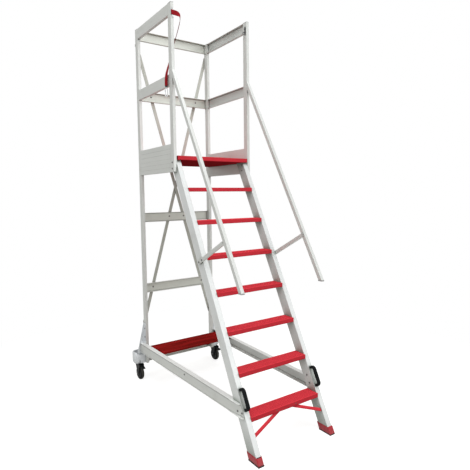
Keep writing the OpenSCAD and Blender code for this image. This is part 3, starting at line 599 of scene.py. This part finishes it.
def makeHookFinish(values=hookSet):
    material, tree, shader, coords = newFinish("hookFinish", values)
    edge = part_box("snap_hook")[1].z - values["ferruleHigh"]
    isFerrule = stepAt(tree, heightOf(tree, coords), edge, values["ferruleSoft"])
    skin = placedGroup(tree, mouldGrain, {"Vector": coords, "Scale": values["grain"]})
    wire = mixColour(tree, skin["Tone"], values["wireLow"], values["wireHigh"])
    fillInputs(tree, shader, {
        "Base Color": mixColour(tree, isFerrule, wire, values["ferrule"]),
        "Metallic": between(tree, isFerrule, 1.0, 0.0),
        "Roughness": between(tree, isFerrule, values["wireRough"], values["ferruleRough"]),
        "Normal": bumpOf(tree, skin["Height"], values["bump"]),
    })
    return material


# woven red webbing: chevron ribs along the strap's own UV map, in metres
webbingSet = {
    "valley": rgb(0.14, 0.003, 0.006),
    "yarn": rgb(0.42, 0.014, 0.024),
    "ribs": 11,
    "ribShare": 0.6,  # of the weave's height, the yarns give the rest
    "pick": 0.0022,
    "faded": rgb(0.44, 0.030, 0.034),
    "fade": {"Scale": 22.0, "Start": 0.48},
    "fadeMix": 0.3,
    "darkEdge": rgb(0.045, 0.004, 0.006),
    "darkEdgeShare": 0.93,  # of half the width
    "valleyRough": 0.90,
    "yarnRough": 0.70,
    "specular": 0.08,
    "bump": {"Strength": 0.6, "Distance": 0.0006},
}


def makeWebbing(width, values=webbingSet):
    material, tree, shader, coords = newFinish("wovenWebbing", values)
    uv = outputOf(tree, "ShaderNodeUVMap", uv_map="weave")
    place = addNode(tree, "ShaderNodeSeparateXYZ", {0: uv}).outputs
    ribPhase = doMath(tree, "MULTIPLY", place["X"], math.pi * values["ribs"] / width)
    ribs = doMath(tree, "ABSOLUTE", doMath(tree, "SINE", ribPhase))
    lean = doMath(tree, "PINGPONG", place["X"], width / values["ribs"])
    picks = doMath(tree, "ADD", place["Y"], lean)
    pickPhase = doMath(tree, "MULTIPLY", picks, 2 * math.pi / values["pick"])
    yarns = mapRange(tree, doMath(tree, "SINE", pickPhase), -1.0, 1.0, 0.0, 1 - values["ribShare"])
    height = doMath(tree, "ADD", doMath(tree, "MULTIPLY", ribs, values["ribShare"]), yarns)
    tone = mixColour(tree, height, values["valley"], values["yarn"])
    fade = maskOf(tree, handledSoil, coords, values["fade"])
    worn = mixPart(tree, fade, values["fadeMix"], tone, values["faded"])
    # darker along both edges of the webbing
    fromMiddle = doMath(tree, "ABSOLUTE", doMath(tree, "SUBTRACT", place["X"], width))
    isDarkEdge = mapRange(tree, fromMiddle, width / 2 * values["darkEdgeShare"], width / 2)
    fillInputs(tree, shader, {
        "Base Color": mixColour(tree, isDarkEdge, worn, values["darkEdge"]),
        "Roughness": between(tree, height, values["valleyRough"], values["yarnRough"]),
        "Normal": bumpOf(tree, height, values["bump"]),
    })
    return material


# sewing thread of the strap's end
threadSet = {
    "dark": rgb(0.36, 0.010, 0.016),
    "light": rgb(0.66, 0.060, 0.066),
    "twist": 2600.0,
    "detail": 2.0,
    "smooth": 0.6,
    "rough": 0.8,
    "specular": 0.5,
    "bump": {"Strength": 0.3, "Distance": 0.0003},
}


def makeThread(values=threadSet):
    material, tree, shader, coords = newFinish("sewingThread", values)
    twist = noiseOf(tree, coords, values["twist"], values["detail"])
    fillInputs(tree, shader, {
        "Base Color": mixColour(tree, twist, values["dark"], values["light"]),
        "Roughness": spreadOf(tree, twist, values["smooth"], values["rough"]),
        "Normal": bumpOf(tree, twist, values["bump"]),
    })
    return material


# which way each group of extrusions runs, in degrees from upright, read from the frame
def tiltOf(run, axis):
    return math.degrees(math.atan2(run[axis], run.z))


def reachOf(node):
    low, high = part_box(node)
    return high - low


stileTilt = tiltOf(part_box("tread_7")[0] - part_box("tread_1")[0], 1)
handTilt = tiltOf(reachOf("handrail_left"), 1)
braceTilt = tiltOf(reachOf("rear_brace_a"), 0)

# turn of the draw lines about x, y and z in degrees, and the set of values
alloyFinishes = {
    "alloyUpright": ((0, 90, 0), alloySet),
    "alloyLengthways": ((0, 0, -90), alloySet),
    "alloyBase": ((0, 0, -90), baseAlloySet),
    "alloyCrosswise": ((0, 0, 0), shadedRearAlloySet),
    "alloyStile": ((stileTilt, 90, 0), stileAlloySet),
    "alloyHandrail": ((handTilt, 90, 0), alloySet),
    "alloyStrut": ((stileTilt - 90, 90, 0), alloySet),
    "alloyBraceA": ((0, 90 - braceTilt, 0), shadedBraceAlloySet),
    "alloyBraceB": ((0, 90 + braceTilt, 0), shadedBraceAlloySet),
}
finishes = {
    "redCoat": makeRedCoat(),
    "filmFacedBoard": makeBoard(),
    "wheelLeft": makeWheelFinish("left"),
    "wheelRight": makeWheelFinish("right"),
    "hookFinish": makeHookFinish(),
    "sewingThread": makeThread(),
}
for alloyName, (alloyTurn, alloyValues) in alloyFinishes.items():
    finishes[alloyName] = makeAlloy(alloyName, alloyTurn, alloyValues)
for plainRows, plainWear in ((plainMetals, metalWear), (plainMouldings, mouldingWear)):
    for plainName, plainRow in plainRows.items():
        finishes[plainName] = makePlain(plainName, plainRow, plainWear)


def bothOf(*stems):
    return [stem + "_" + side for stem in stems for side in bothSides]


treads = ["tread_%d" % n for n in range(1, 8)]
finishOfNodes = {
    "alloyUpright": bothOf("front_post", "rear_post"),
    "alloyLengthways": bothOf("side_beam", "toe_board", "top_rail", "mid_rail"),
    "alloyBase": bothOf("base_rail"),
    "alloyCrosswise": [
        "top_rail_rear", "mid_rail_rear", "cross_rail_upper", "cross_rail_lower", "rear_beam"],
    "alloyStile": bothOf("stile"),
    "alloyHandrail": bothOf("handrail"),
    "alloyStrut": bothOf("handrail_strut"),
    "alloyBraceA": ["rear_brace_a"],
    "alloyBraceB": ["rear_brace_b"],
    "redCoat": treads + ["platform_deck"] + bothOf("knee_brace"),
    "filmFacedBoard": ["shelf_board"],
    "castAlloy": bothOf("castor_bracket"),
    "blackPaintedSteel": bothOf("castor_fork"),
    "zincSteel": ["strap_anchor"],
    "darkSteel": bothOf("castor_axle") + ["catch_eye", "frame_bolts"],
    "brightSteel": ["hook_gate"],
    "hookFinish": ["snap_hook"],
    "blackPlastic": bothOf("brake_pedal", "carry_handle"),
    "redPlastic": bothOf("boot") + ["safety_strap"],
    "greyPlastic": ["tube_caps"],
    "soleRubber": ["foot_soles"],
    "wheelLeft": ["castor_wheel_left"],
    "wheelRight": ["castor_wheel_right"],
}


def paint(obj, material):
    if not obj.material_slots:
        obj.data.materials.append(material)
    for materialSlot in obj.material_slots:
        materialSlot.material = material


for finishName, nodeNames in finishOfNodes.items():
    for nodeName in nodeNames:
        paint(nodes[nodeName], finishes[finishName])
print("finishes on", sum(len(names) for names in finishOfNodes.values()), "nodes")


# rounded edges, live on the CAD nodes: the nodes, the radius in metres and the number of steps
softenSet = {
    "mouldedBoots": (bothOf("boot"), 0.0055, 4),
    "handles": (bothOf("carry_handle"), 0.005, 4),
    "pedals": (bothOf("brake_pedal"), 0.0015, 2),
    "castings": (bothOf("castor_bracket"), 0.002, 3),
    "forks": (bothOf("castor_fork"), 0.0008, 2),
    "posts": (bothOf("stile", "front_post", "rear_post", "handrail"), 0.0012, 2),
    "rails": (bothOf("top_rail", "mid_rail", "side_beam", "toe_board"), 0.0012, 2),
    "rearRails": (finishOfNodes["alloyCrosswise"], 0.0012, 2),
    "bars": (bothOf("handrail_strut", "knee_brace", "base_rail"), 0.0008, 2),
    "braces": (["rear_brace_a", "rear_brace_b"], 0.0008, 2),
    "steps": (treads + ["platform_deck"], 0.0007, 2),
    "board": (["shelf_board"], 0.0025, 3),
    "soles": (["foot_soles"], 0.001, 2),
    "caps": (["tube_caps", "strap_anchor"], 0.0008, 2),
}
softenRule = {"flatAngle": 0.5, "edgeAngle": 35}  # degrees between faces: joined below, rounded above


def soften(obj, radius, steps, rule=softenRule):
    joined = obj.modifiers.new("joinTriangles", "WELD")
    joined.merge_threshold = nearby
    flattened = obj.modifiers.new("flattenFaces", "DECIMATE")
    setAll(flattened, {"decimate_type": "DISSOLVE", "angle_limit": math.radians(rule["flatAngle"])})
    rounded = obj.modifiers.new("roundEdges", "BEVEL")
    setAll(rounded, {
        "limit_method": "ANGLE", "angle_limit": math.radians(rule["edgeAngle"]), "width": radius,
        "segments": steps, "miter_outer": "MITER_ARC", "harden_normals": True})


for softNodes, softRadius, softSteps in softenSet.values():
    for nodeName in softNodes:
        soften(nodes[nodeName], softRadius, softSteps)
print("edges rounded on", sum(len(row[0]) for row in softenSet.values()), "nodes")


# safety strap: webbing that hangs from the left front post, with its sewn end at the hook
strapSet = {
    "width": 0.038,
    "thick": 0.0026,
    "fromEdge": 0.004,  # fixed end, in from the post's outer edge
    "proud": 0.0043,  # centre of the webbing in front of the post
    "below": 0.075,  # under the top of the post
    "plannedDrop": 0.528,  # drop of the route below, stretched to reach the hook
    "perSpan": 6,  # rings between two points of the route
    "foldLong": 0.060,
    "foldThick": 0.0018,
    "foldWidth": 0.0365,
}

# offset from the fixed end, in metres, and the direction across the webbing
strapRoute = [
    ((0, 0, 0), (0, 0, 1)),
    ((0.013, 0, 0), (0, 0, 1)),
    ((0.024, 0, -0.001), (0, 0, 1)),
    ((0.046, -0.001, -0.003), (0.05, 0.05, 1)),
    ((0.064, -0.001, -0.009), (0.2, 0.3, 0.9)),
    ((0.074, 0.002, -0.022), (0.4, 0.6, 0.7)),
    ((0.078, 0.010, -0.042), (0.44, 0.8, 0.4)),
    ((0.077, 0.020, -0.066), (0.36, 0.93, 0.15)),
    ((0.073, 0.034, -0.100), (0.33, 0.94, 0.1)),
    ((0.066, 0.048, -0.140), (0.31, 0.95, 0)),
    ((0.056, 0.062, -0.185), (0.28, 0.96, 0)),
    ((0.044, 0.072, -0.235), (0.25, 1, 0)),
    ((0.030, 0.078, -0.290), (0.2, 1, 0)),
    ((0.015, 0.080, -0.345), (0.12, 1, 0)),
    ((-0.001, 0.079, -0.395), (0.02, 1, 0)),
    ((-0.015, 0.077, -0.445), (-0.08, 1, 0)),
    ((-0.017, 0.0765, -0.490), (-0.15, 1, 0)),
    ((-0.017, 0.0773, -0.528), (-0.15, 1, 0)),
]


def smoothThrough(points, perSpan):
    ends = [points[0] * 2 - points[1]] + list(points) + [points[-1] * 2 - points[-2]]
    smooth = []
    for k in range(1, len(ends) - 2):
        a, b, c, d = ends[k - 1:k + 3]
        for step in range(perSpan):
            t = step / perSpan
            smooth.append(0.5 * (2 * b + (c - a) * t + (2 * a - 5 * b + 4 * c - d) * t * t
                                 + (3 * b - a - 3 * c + d) * t ** 3))
    smooth.append(points[-1].copy())
    return smooth


def strapFrames(values):
    low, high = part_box("front_post_left")
    start = Vector((low.x + values["fromEdge"], low.y - values["proud"], high.z - values["below"]))
    stretch = (start.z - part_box("snap_hook")[1].z) / values["plannedDrop"]
    places = [start + Vector((p[0], p[1], p[2] * stretch)) for p, w in strapRoute]
    centres = smoothThrough(places, values["perSpan"])
    acrosses = smoothThrough([Vector(w).normalized() for p, w in strapRoute], values["perSpan"])
    frames = []
    run = 0.0
    for k, centre in enumerate(centres):
        along = (centres[min(k + 1, len(centres) - 1)] - centres[max(k - 1, 0)]).normalized()
        across = (acrosses[k] - along * acrosses[k].dot(along)).normalized()
        if k:
            run += (centre - centres[k - 1]).length
        out = across.cross(along)
        frames.append({"run": run, "centre": centre, "along": along, "across": across, "out": out})
    return frames


def meshPiece(name, shape, smooth=True):
    mesh = bpy.data.meshes.new(name)
    shape.to_mesh(mesh)
    shape.free()
    for polygon in mesh.polygons:
        polygon.use_smooth = smooth
    piece = bpy.data.objects.new(name, mesh)
    scene.collection.objects.link(piece)
    return piece


# half of the webbing's section as shares of half its width and half its thickness
webbingEdge = [(-1.0, 0.0), (-0.985, 0.55), (-0.95, 0.9), (-0.88, 1.0), (-0.44, 1.0), (0.0, 1.0),
               (0.44, 1.0), (0.88, 1.0), (0.95, 0.9), (0.985, 0.55)]


def sweepWebbing(name, frames, width, thick, lift=0.0):
    section = webbingEdge + [(-u, -v) for u, v in webbingEdge]
    shape = bmesh.new()
    uvLayer = shape.loops.layers.uv.new("weave")
    rings = []
    for place in frames:
        ring = []
        for u, v in section:
            spot = place["centre"] + place["across"] * (u * width / 2)
            ring.append(shape.verts.new(spot + place["out"] * (lift + v * thick / 2)))
        rings.append(ring)
    count = len(section)
    for k in range(len(rings) - 1):
        for n in range(count):
            m = (n + 1) % count
            corners = ((k, n), (k, m), (k + 1, m), (k + 1, n))
            face = shape.faces.new([rings[ringNumber][spotNumber] for ringNumber, spotNumber in corners])
            for loop, (ringNumber, spotNumber) in zip(face.loops, corners):
                loop[uvLayer].uv = (section[spotNumber][0] * width / 2 + width, frames[ringNumber]["run"])
    for ring in (rings[0], rings[-1]):
        shape.faces.new(ring)
    bmesh.ops.recalc_face_normals(shape, faces=shape.faces)
    return meshPiece(name, shape)


strapPath = strapFrames(strapSet)
strapLength = strapPath[-1]["run"]
finishes["wovenWebbing"] = makeWebbing(strapSet["width"])
strapWebbing = sweepWebbing("strapWebbing", strapPath, strapSet["width"], strapSet["thick"])
foldPath = [place for place in strapPath if place["run"] > strapLength - strapSet["foldLong"]]
foldLift = (strapSet["thick"] + strapSet["foldThick"]) / 2
strapFold = sweepWebbing("strapFold", foldPath, strapSet["foldWidth"], strapSet["foldThick"], foldLift)
for strapPiece in (strapWebbing, strapFold):
    paint(strapPiece, finishes["wovenWebbing"])
    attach(strapPiece, "frame")
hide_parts("safety_strap")
print("strap of", round(strapLength, 3), "m")


# geometry node helpers
def newGrowth(name, sizes):
    inputs = {"Geometry": "NodeSocketGeometry", **sizes, "Material": "NodeSocketMaterial"}
    return newTree(name, "GeometryNodeTree", inputs, {"Geometry": "NodeSocketGeometry"})


def attributeOf(tree, name, kind):
    return outputOf(tree, "GeometryNodeInputNamedAttribute", {"Name": name}, data_type=kind)


def joinAll(tree, pieces):
    joined = addNode(tree, "GeometryNodeJoinGeometry")
    for piece in pieces:
        tree.links.new(piece, joined.inputs[0])
    return joined.outputs[0]


def endGrowth(tree, end, geometry, material):
    plain = outputOf(tree, "GeometryNodeRealizeInstances", {"Geometry": geometry})
    painted = outputOf(tree, "GeometryNodeSetMaterial", {"Geometry": plain, "Material": material})
    fillInputs(tree, end, {"Geometry": painted})


def growPiece(name, seed, tree, values):
    holder = bpy.data.objects.new(name + "Seed", seed)
    scene.collection.objects.link(holder)
    modifier = holder.modifiers.new("growth", "NODES")
    modifier.node_group = tree
    for item in tree.interface.items_tree:
        if item.in_out == "INPUT" and item.name in values:
            modifier[item.identifier] = values[item.name]
    seen = holder.evaluated_get(bpy.context.evaluated_depsgraph_get())
    mesh = bpy.data.meshes.new_from_object(seen)
    mesh.name = name
    piece = bpy.data.objects.new(name, mesh)
    scene.collection.objects.link(piece)
    bpy.data.objects.remove(holder)
    return piece


def pointSeed(name, places, attributes):
    mesh = bpy.data.meshes.new(name)
    mesh.from_pydata([tuple(p) for p in places], [], [])
    for label, kind, key, data in attributes:
        layer = mesh.attributes.new(label, kind, "POINT")
        layer.data.foreach_set(key, np.array(data, np.float32).ravel())
    return mesh


# bolt and rivet heads, one on each CAD head, in shares of the head's radius
boltSizes = {
    "Washer Height": 0.16,
    "Dome Width": 0.86,
    "Dome Height": 0.56,
    "Socket Width": 0.40,
    "Socket Depth": 0.24,
    "Smallest": 0.0055,  # metres: heads under this radius are plain rivets
}
boltShape = {
    "sides": 24, "rings": 12, "washerTop": 0.94, "domeLift": 0.12, "socketSides": 6, "punchLong": 2.0,
}


def makeBoltGrowth(sizes, shape):
    tree, given, end = newGrowth("boltGrowth", sizes)
    radius = attributeOf(tree, "radius", "FLOAT")
    washer = outputOf(tree, "GeometryNodeMeshCone", {
        "Vertices": shape["sides"], "Radius Top": shape["washerTop"], "Radius Bottom": 1.0,
        "Depth": given["Washer Height"]})
    ball = outputOf(tree, "GeometryNodeMeshUVSphere", {
        "Segments": shape["sides"], "Rings": shape["rings"], "Radius": 1.0})
    dome = outputOf(tree, "GeometryNodeTransform", {
        "Geometry": ball, "Translation": (0.0, 0.0, shape["domeLift"]),
        "Scale": vectorOf(tree, given["Dome Width"], given["Dome Width"], given["Dome Height"])})
    hexagon = outputOf(tree, "GeometryNodeMeshCylinder", {
        "Vertices": shape["socketSides"], "Radius": given["Socket Width"], "Depth": shape["punchLong"]})
    top = doMath(tree, "ADD", given["Dome Height"], shape["domeLift"] + shape["punchLong"] / 2)
    rise = doMath(tree, "SUBTRACT", top, given["Socket Depth"])
    punch = outputOf(tree, "GeometryNodeTransform", {
        "Geometry": hexagon, "Translation": vectorOf(tree, z=rise)})
    cut = outputOf(tree, "GeometryNodeMeshBoolean", {
        "Mesh 1": dome, "Mesh 2": punch}, operation="DIFFERENCE")
    turn = outputOf(tree, "FunctionNodeAlignRotationToVector", {
        "Vector": attributeOf(tree, "axis", "FLOAT_VECTOR")}, axis="Z")
    isSmall = outputOf(tree, "FunctionNodeCompare", {
        "A": radius, "B": given["Smallest"]}, operation="LESS_THAN")
    isLarge = outputOf(tree, "FunctionNodeBooleanMath", {0: isSmall}, operation="NOT")
    heads = [outputOf(tree, "GeometryNodeInstanceOnPoints", {
        "Points": given["Geometry"], "Selection": chosen, "Instance": joinAll(tree, [head, washer]),
        "Rotation": turn, "Scale": radius}) for head, chosen in ((cut, isLarge), (dome, isSmall))]
    endGrowth(tree, end, joinAll(tree, heads), given["Material"])
    return tree


# the points of each head, from a merged copy of the CAD node's mesh
def readHeads(node):
    shape = bmesh.new()
    shape.from_mesh(nodes[node].data)
    bmesh.ops.remove_doubles(shape, verts=shape.verts, dist=nearby)
    seen = set()
    heads = []
    for first in shape.verts:
        if first in seen:
            continue
        seen.add(first)
        island = [first]
        for spot in island:
            for edge in spot.link_edges:
                other = edge.other_vert(spot)
                if other not in seen:
                    seen.add(other)
                    island.append(other)
        heads.append(np.array([tuple(v.co) for v in island]))
    shape.free()
    return heads


def headPlace(spots):
    offsets = spots - spots.mean(0)
    axis = np.linalg.eigh(offsets.T @ offsets)[1][:, 0]
    heights = offsets @ axis
    sideways = np.linalg.norm(offsets - np.outer(heights, axis), axis=1)
    low = heights < heights.min() + nearby
    high = heights > heights.max() - nearby
    if sideways[high].max() > sideways[low].max():
        axis = -axis
        heights = -heights
    base = spots[np.abs(heights - heights.min()) < nearby].mean(0)
    return base, axis, sideways.max()


def growBolts(sizes, shape):
    found = [headPlace(spots) for spots in readHeads("frame_bolts")]
    seed = pointSeed("boltSeed", [f[0] for f in found], [
        ("axis", "FLOAT_VECTOR", "vector", [f[1] for f in found]),
        ("radius", "FLOAT", "value", [f[2] for f in found]),
    ])
    tree = makeBoltGrowth(sizes, shape)
    piece = growPiece("boltHeads", seed, tree, {**sizes, "Material": finishes["darkSteel"]})
    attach(piece, "frame")
    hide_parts("frame_bolts")
    print("bolt heads:", len(found))


growBolts(boltSizes, boltShape)


# moulded ribs between the hub and the rim, on both faces of each wheel
ribSet = {
    "count": 8,
    "sides": 10,
    "innerShare": 0.26,  # of the wheel's radius
    "outerShare": 0.72,
    "webShare": 0.66,  # of half the hub's width: how far out the web lies
    "radius": 0.0024,
    "lift": 0.0008,  # centre of a rib above the web
}


def ribSizes(side, values):
    radius, halfWidth = wheelOf(side)[1:]
    return {
        "Inner Radius": radius * values["innerShare"],
        "Outer Radius": radius * values["outerShare"],
        "Offset": halfWidth * values["webShare"] + values["lift"],
        "Rib Radius": values["radius"],
    }


def makeRibGrowth(values):
    tree, given, end = newGrowth("ribGrowth", ribSizes("left", values))
    profile = outputOf(tree, "GeometryNodeCurvePrimitiveCircle", {
        "Resolution": values["sides"], "Radius": given["Rib Radius"]})
    rods = []
    for side in (-1.0, 1.0):
        offset = doMath(tree, "MULTIPLY", given["Offset"], side)
        line = outputOf(tree, "GeometryNodeCurvePrimitiveLine", {
            "Start": vectorOf(tree, offset, 0.0, given["Inner Radius"]),
            "End": vectorOf(tree, offset, 0.0, given["Outer Radius"])})
        rods.append(outputOf(tree, "GeometryNodeCurveToMesh", {
            "Curve": line, "Profile Curve": profile, "Fill Caps": True}))
    angles = vectorOf(tree, attributeOf(tree, "turn", "FLOAT"))
    rotation = outputOf(tree, "FunctionNodeEulerToRotation", {0: angles})
    placed = outputOf(tree, "GeometryNodeInstanceOnPoints", {
        "Points": given["Geometry"], "Instance": joinAll(tree, rods), "Rotation": rotation})
    endGrowth(tree, end, placed, given["Material"])
    return tree


def growRibs(side, tree, values):
    count = values["count"]
    turns = [2 * math.pi * k / count for k in range(count)]
    seed = pointSeed("ribSeed", [wheelOf(side)[0]] * count, [("turn", "FLOAT", "value", turns)])
    material = finishes["wheel" + side.capitalize()]
    piece = growPiece("wheelRibs" + side.capitalize(), seed, tree, {
        **ribSizes(side, values), "Material": material})
    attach(piece, "wheel_" + side)


ribGrowth = makeRibGrowth(ribSet)
for sideName in bothSides:
    growRibs(sideName, ribGrowth, ribSet)
print("wheel ribs:", ribSet["count"], "on each face")


# stitches: a box with a cross through the folded end of the webbing
stitchSizes = {
    "Pitch": 0.0034,
    "Length": 0.0026,
    "Thickness": 0.0008,
}
stitchShape = {
    "segments": 6,
    "rings": 5,
    "inset": 0.005,
    "proud": 0.2,  # centre above the webbing, as a share of the thickness
    "seams": [(0, 1), (1, 3), (3, 2), (2, 0), (0, 3), (1, 2)],  # between the four corners
}


def makeStitchGrowth(sizes, shape):
    tree, given, end = newGrowth("stitchGrowth", sizes)
    line = outputOf(tree, "GeometryNodeMeshToCurve", {"Mesh": given["Geometry"]})
    spaced = outputOf(tree, "GeometryNodeResampleCurve", {
        "Curve": line, "Length": given["Pitch"]}, mode="LENGTH")
    bead = outputOf(tree, "GeometryNodeMeshUVSphere", {
        "Segments": shape["segments"], "Rings": shape["rings"], "Radius": 0.5})
    size = vectorOf(tree, given["Length"], given["Thickness"], given["Thickness"])
    stitch = outputOf(tree, "GeometryNodeTransform", {"Geometry": bead, "Scale": size})
    tangent = outputOf(tree, "GeometryNodeInputTangent")
    turn = outputOf(tree, "FunctionNodeAlignRotationToVector", {"Vector": tangent}, axis="X")
    placed = outputOf(tree, "GeometryNodeInstanceOnPoints", {
        "Points": spaced, "Instance": stitch, "Rotation": turn})
    endGrowth(tree, end, placed, given["Material"])
    return tree


def growStitches(sizes, shape):
    lift = strapSet["thick"] / 2 + strapSet["foldThick"] + sizes["Thickness"] * shape["proud"]
    half = strapSet["foldWidth"] / 2 - shape["inset"]
    corners = []
    for place, inward in ((foldPath[0], 1.0), (foldPath[-1], -1.0)):
        for side in (-1.0, 1.0):
            spot = place["centre"] + place["along"] * inward * shape["inset"]
            corners.append(spot + place["across"] * side * half + place["out"] * lift)
    mesh = bpy.data.meshes.new("stitchSeed")
    mesh.from_pydata([tuple(c) for c in corners], shape["seams"], [])
    tree = makeStitchGrowth(sizes, shape)
    piece = growPiece("strapStitches", mesh, tree, {**sizes, "Material": finishes["sewingThread"]})
    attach(piece, "frame")
    return piece


strapStitches = growStitches(stitchSizes, stitchShape)
print("strap sewn")

# soft light, pale floor and white surroundings
studioSet = {
    "floorSize": 60.0,
    "floorBelow": 0.0003,
    "floorShown": rgb(0.5, 0.5, 0.5),  # the paper as the camera sees it
    "floorBounce": rgb(0.27, 0.26, 0.215),  # and as it lights the part
    "floorGlow": 0.80,
    "floorNear": 1.3,  # the floor fades to plain white between these distances
    "floorFar": 3.0,
    "skyLight": 0.34,
    "skyColour": rgb(1.0, 0.975, 0.89),
    "white": rgb(1, 1, 1),
    "lampColour": (0.96, 0.985, 1.0),
    "lamps": {
        "frontLamp": {"place": (2.4, -6.2, 3.4), "target": (0.0, -0.3, 1.4), "size": 4.0, "power": 129.0},
        "topLamp": {"place": (-0.9, -2.2, 7.4), "target": (0.0, -0.2, 1.0), "size": 5.0, "power": 315.0},
        "leftLamp": {"place": (-9.0, -2.0, 2.2), "target": (0.0, 0.0, 1.0), "size": 4.0, "power": 215.0},
    },
}


def mixShader(tree, factor, first, second):
    return outputOf(tree, "ShaderNodeMixShader", {0: factor, 1: first, 2: second})


def seenDirectly(tree):
    path = addNode(tree, "ShaderNodeLightPath").outputs
    mirrored = doMath(tree, "MAXIMUM", path["Is Camera Ray"], path["Is Glossy Ray"])
    return doMath(tree, "MAXIMUM", mirrored, path["Is Transmission Ray"])


def addWorld(values):
    scene.world = bpy.data.worlds.new("studioWorld")
    tree = emptyTree(scene.world)
    light = outputOf(tree, "ShaderNodeBackground", {
        "Color": values["skyColour"], "Strength": values["skyLight"]})
    white = outputOf(tree, "ShaderNodeBackground", {"Color": values["white"], "Strength": 1.0})
    addNode(tree, "ShaderNodeOutputWorld", {"Surface": mixShader(tree, seenDirectly(tree), light, white)})


def addFloor(values):
    half = values["floorSize"] / 2
    shape = bmesh.new()
    corners = [shape.verts.new((x, y, -values["floorBelow"])) for x, y in
               ((-half, -half), (half, -half), (half, half), (-half, half))]
    shape.faces.new(corners)
    floor = meshPiece("paleFloor", shape, smooth=False)
    material = bpy.data.materials.new("palePaper")
    tree = emptyTree(material)
    paper = outputOf(tree, "ShaderNodeBsdfDiffuse", {"Color": values["floorShown"]})
    bounce = outputOf(tree, "ShaderNodeBsdfDiffuse", {"Color": values["floorBounce"]})
    glow = outputOf(tree, "ShaderNodeEmission", {"Strength": values["floorGlow"]})
    lit = outputOf(tree, "ShaderNodeAddShader", {0: paper, 1: glow})
    white = outputOf(tree, "ShaderNodeEmission", {"Strength": 1.0})
    coords = addNode(tree, "ShaderNodeTexCoord").outputs["Object"]
    away = vectorMath(tree, "LENGTH", coords)["Value"]
    fade = mapRange(tree, away, values["floorNear"], values["floorFar"])
    shown = mixShader(tree, fade, lit, white)
    mixed = mixShader(tree, seenDirectly(tree), bounce, shown)
    addNode(tree, "ShaderNodeOutputMaterial", {"Surface": mixed})
    paint(floor, material)


def addLamp(name, values, colour):
    data = bpy.data.lights.new(name, "AREA")
    setAll(data, {"color": colour, "shape": "SQUARE", "size": values["size"], "energy": values["power"]})
    lamp = bpy.data.objects.new(name, data)
    lamp.location = values["place"]
    aim = Vector(values["target"]) - Vector(values["place"])
    lamp.rotation_euler = aim.to_track_quat("-Z", "Y").to_euler()
    scene.collection.objects.link(lamp)


addWorld(studioSet)
addFloor(studioSet)
for lampName, lampValues in studioSet["lamps"].items():
    addLamp(lampName, lampValues, studioSet["lampColour"])
scene.view_settings.view_transform = "Standard"
print("studio set")
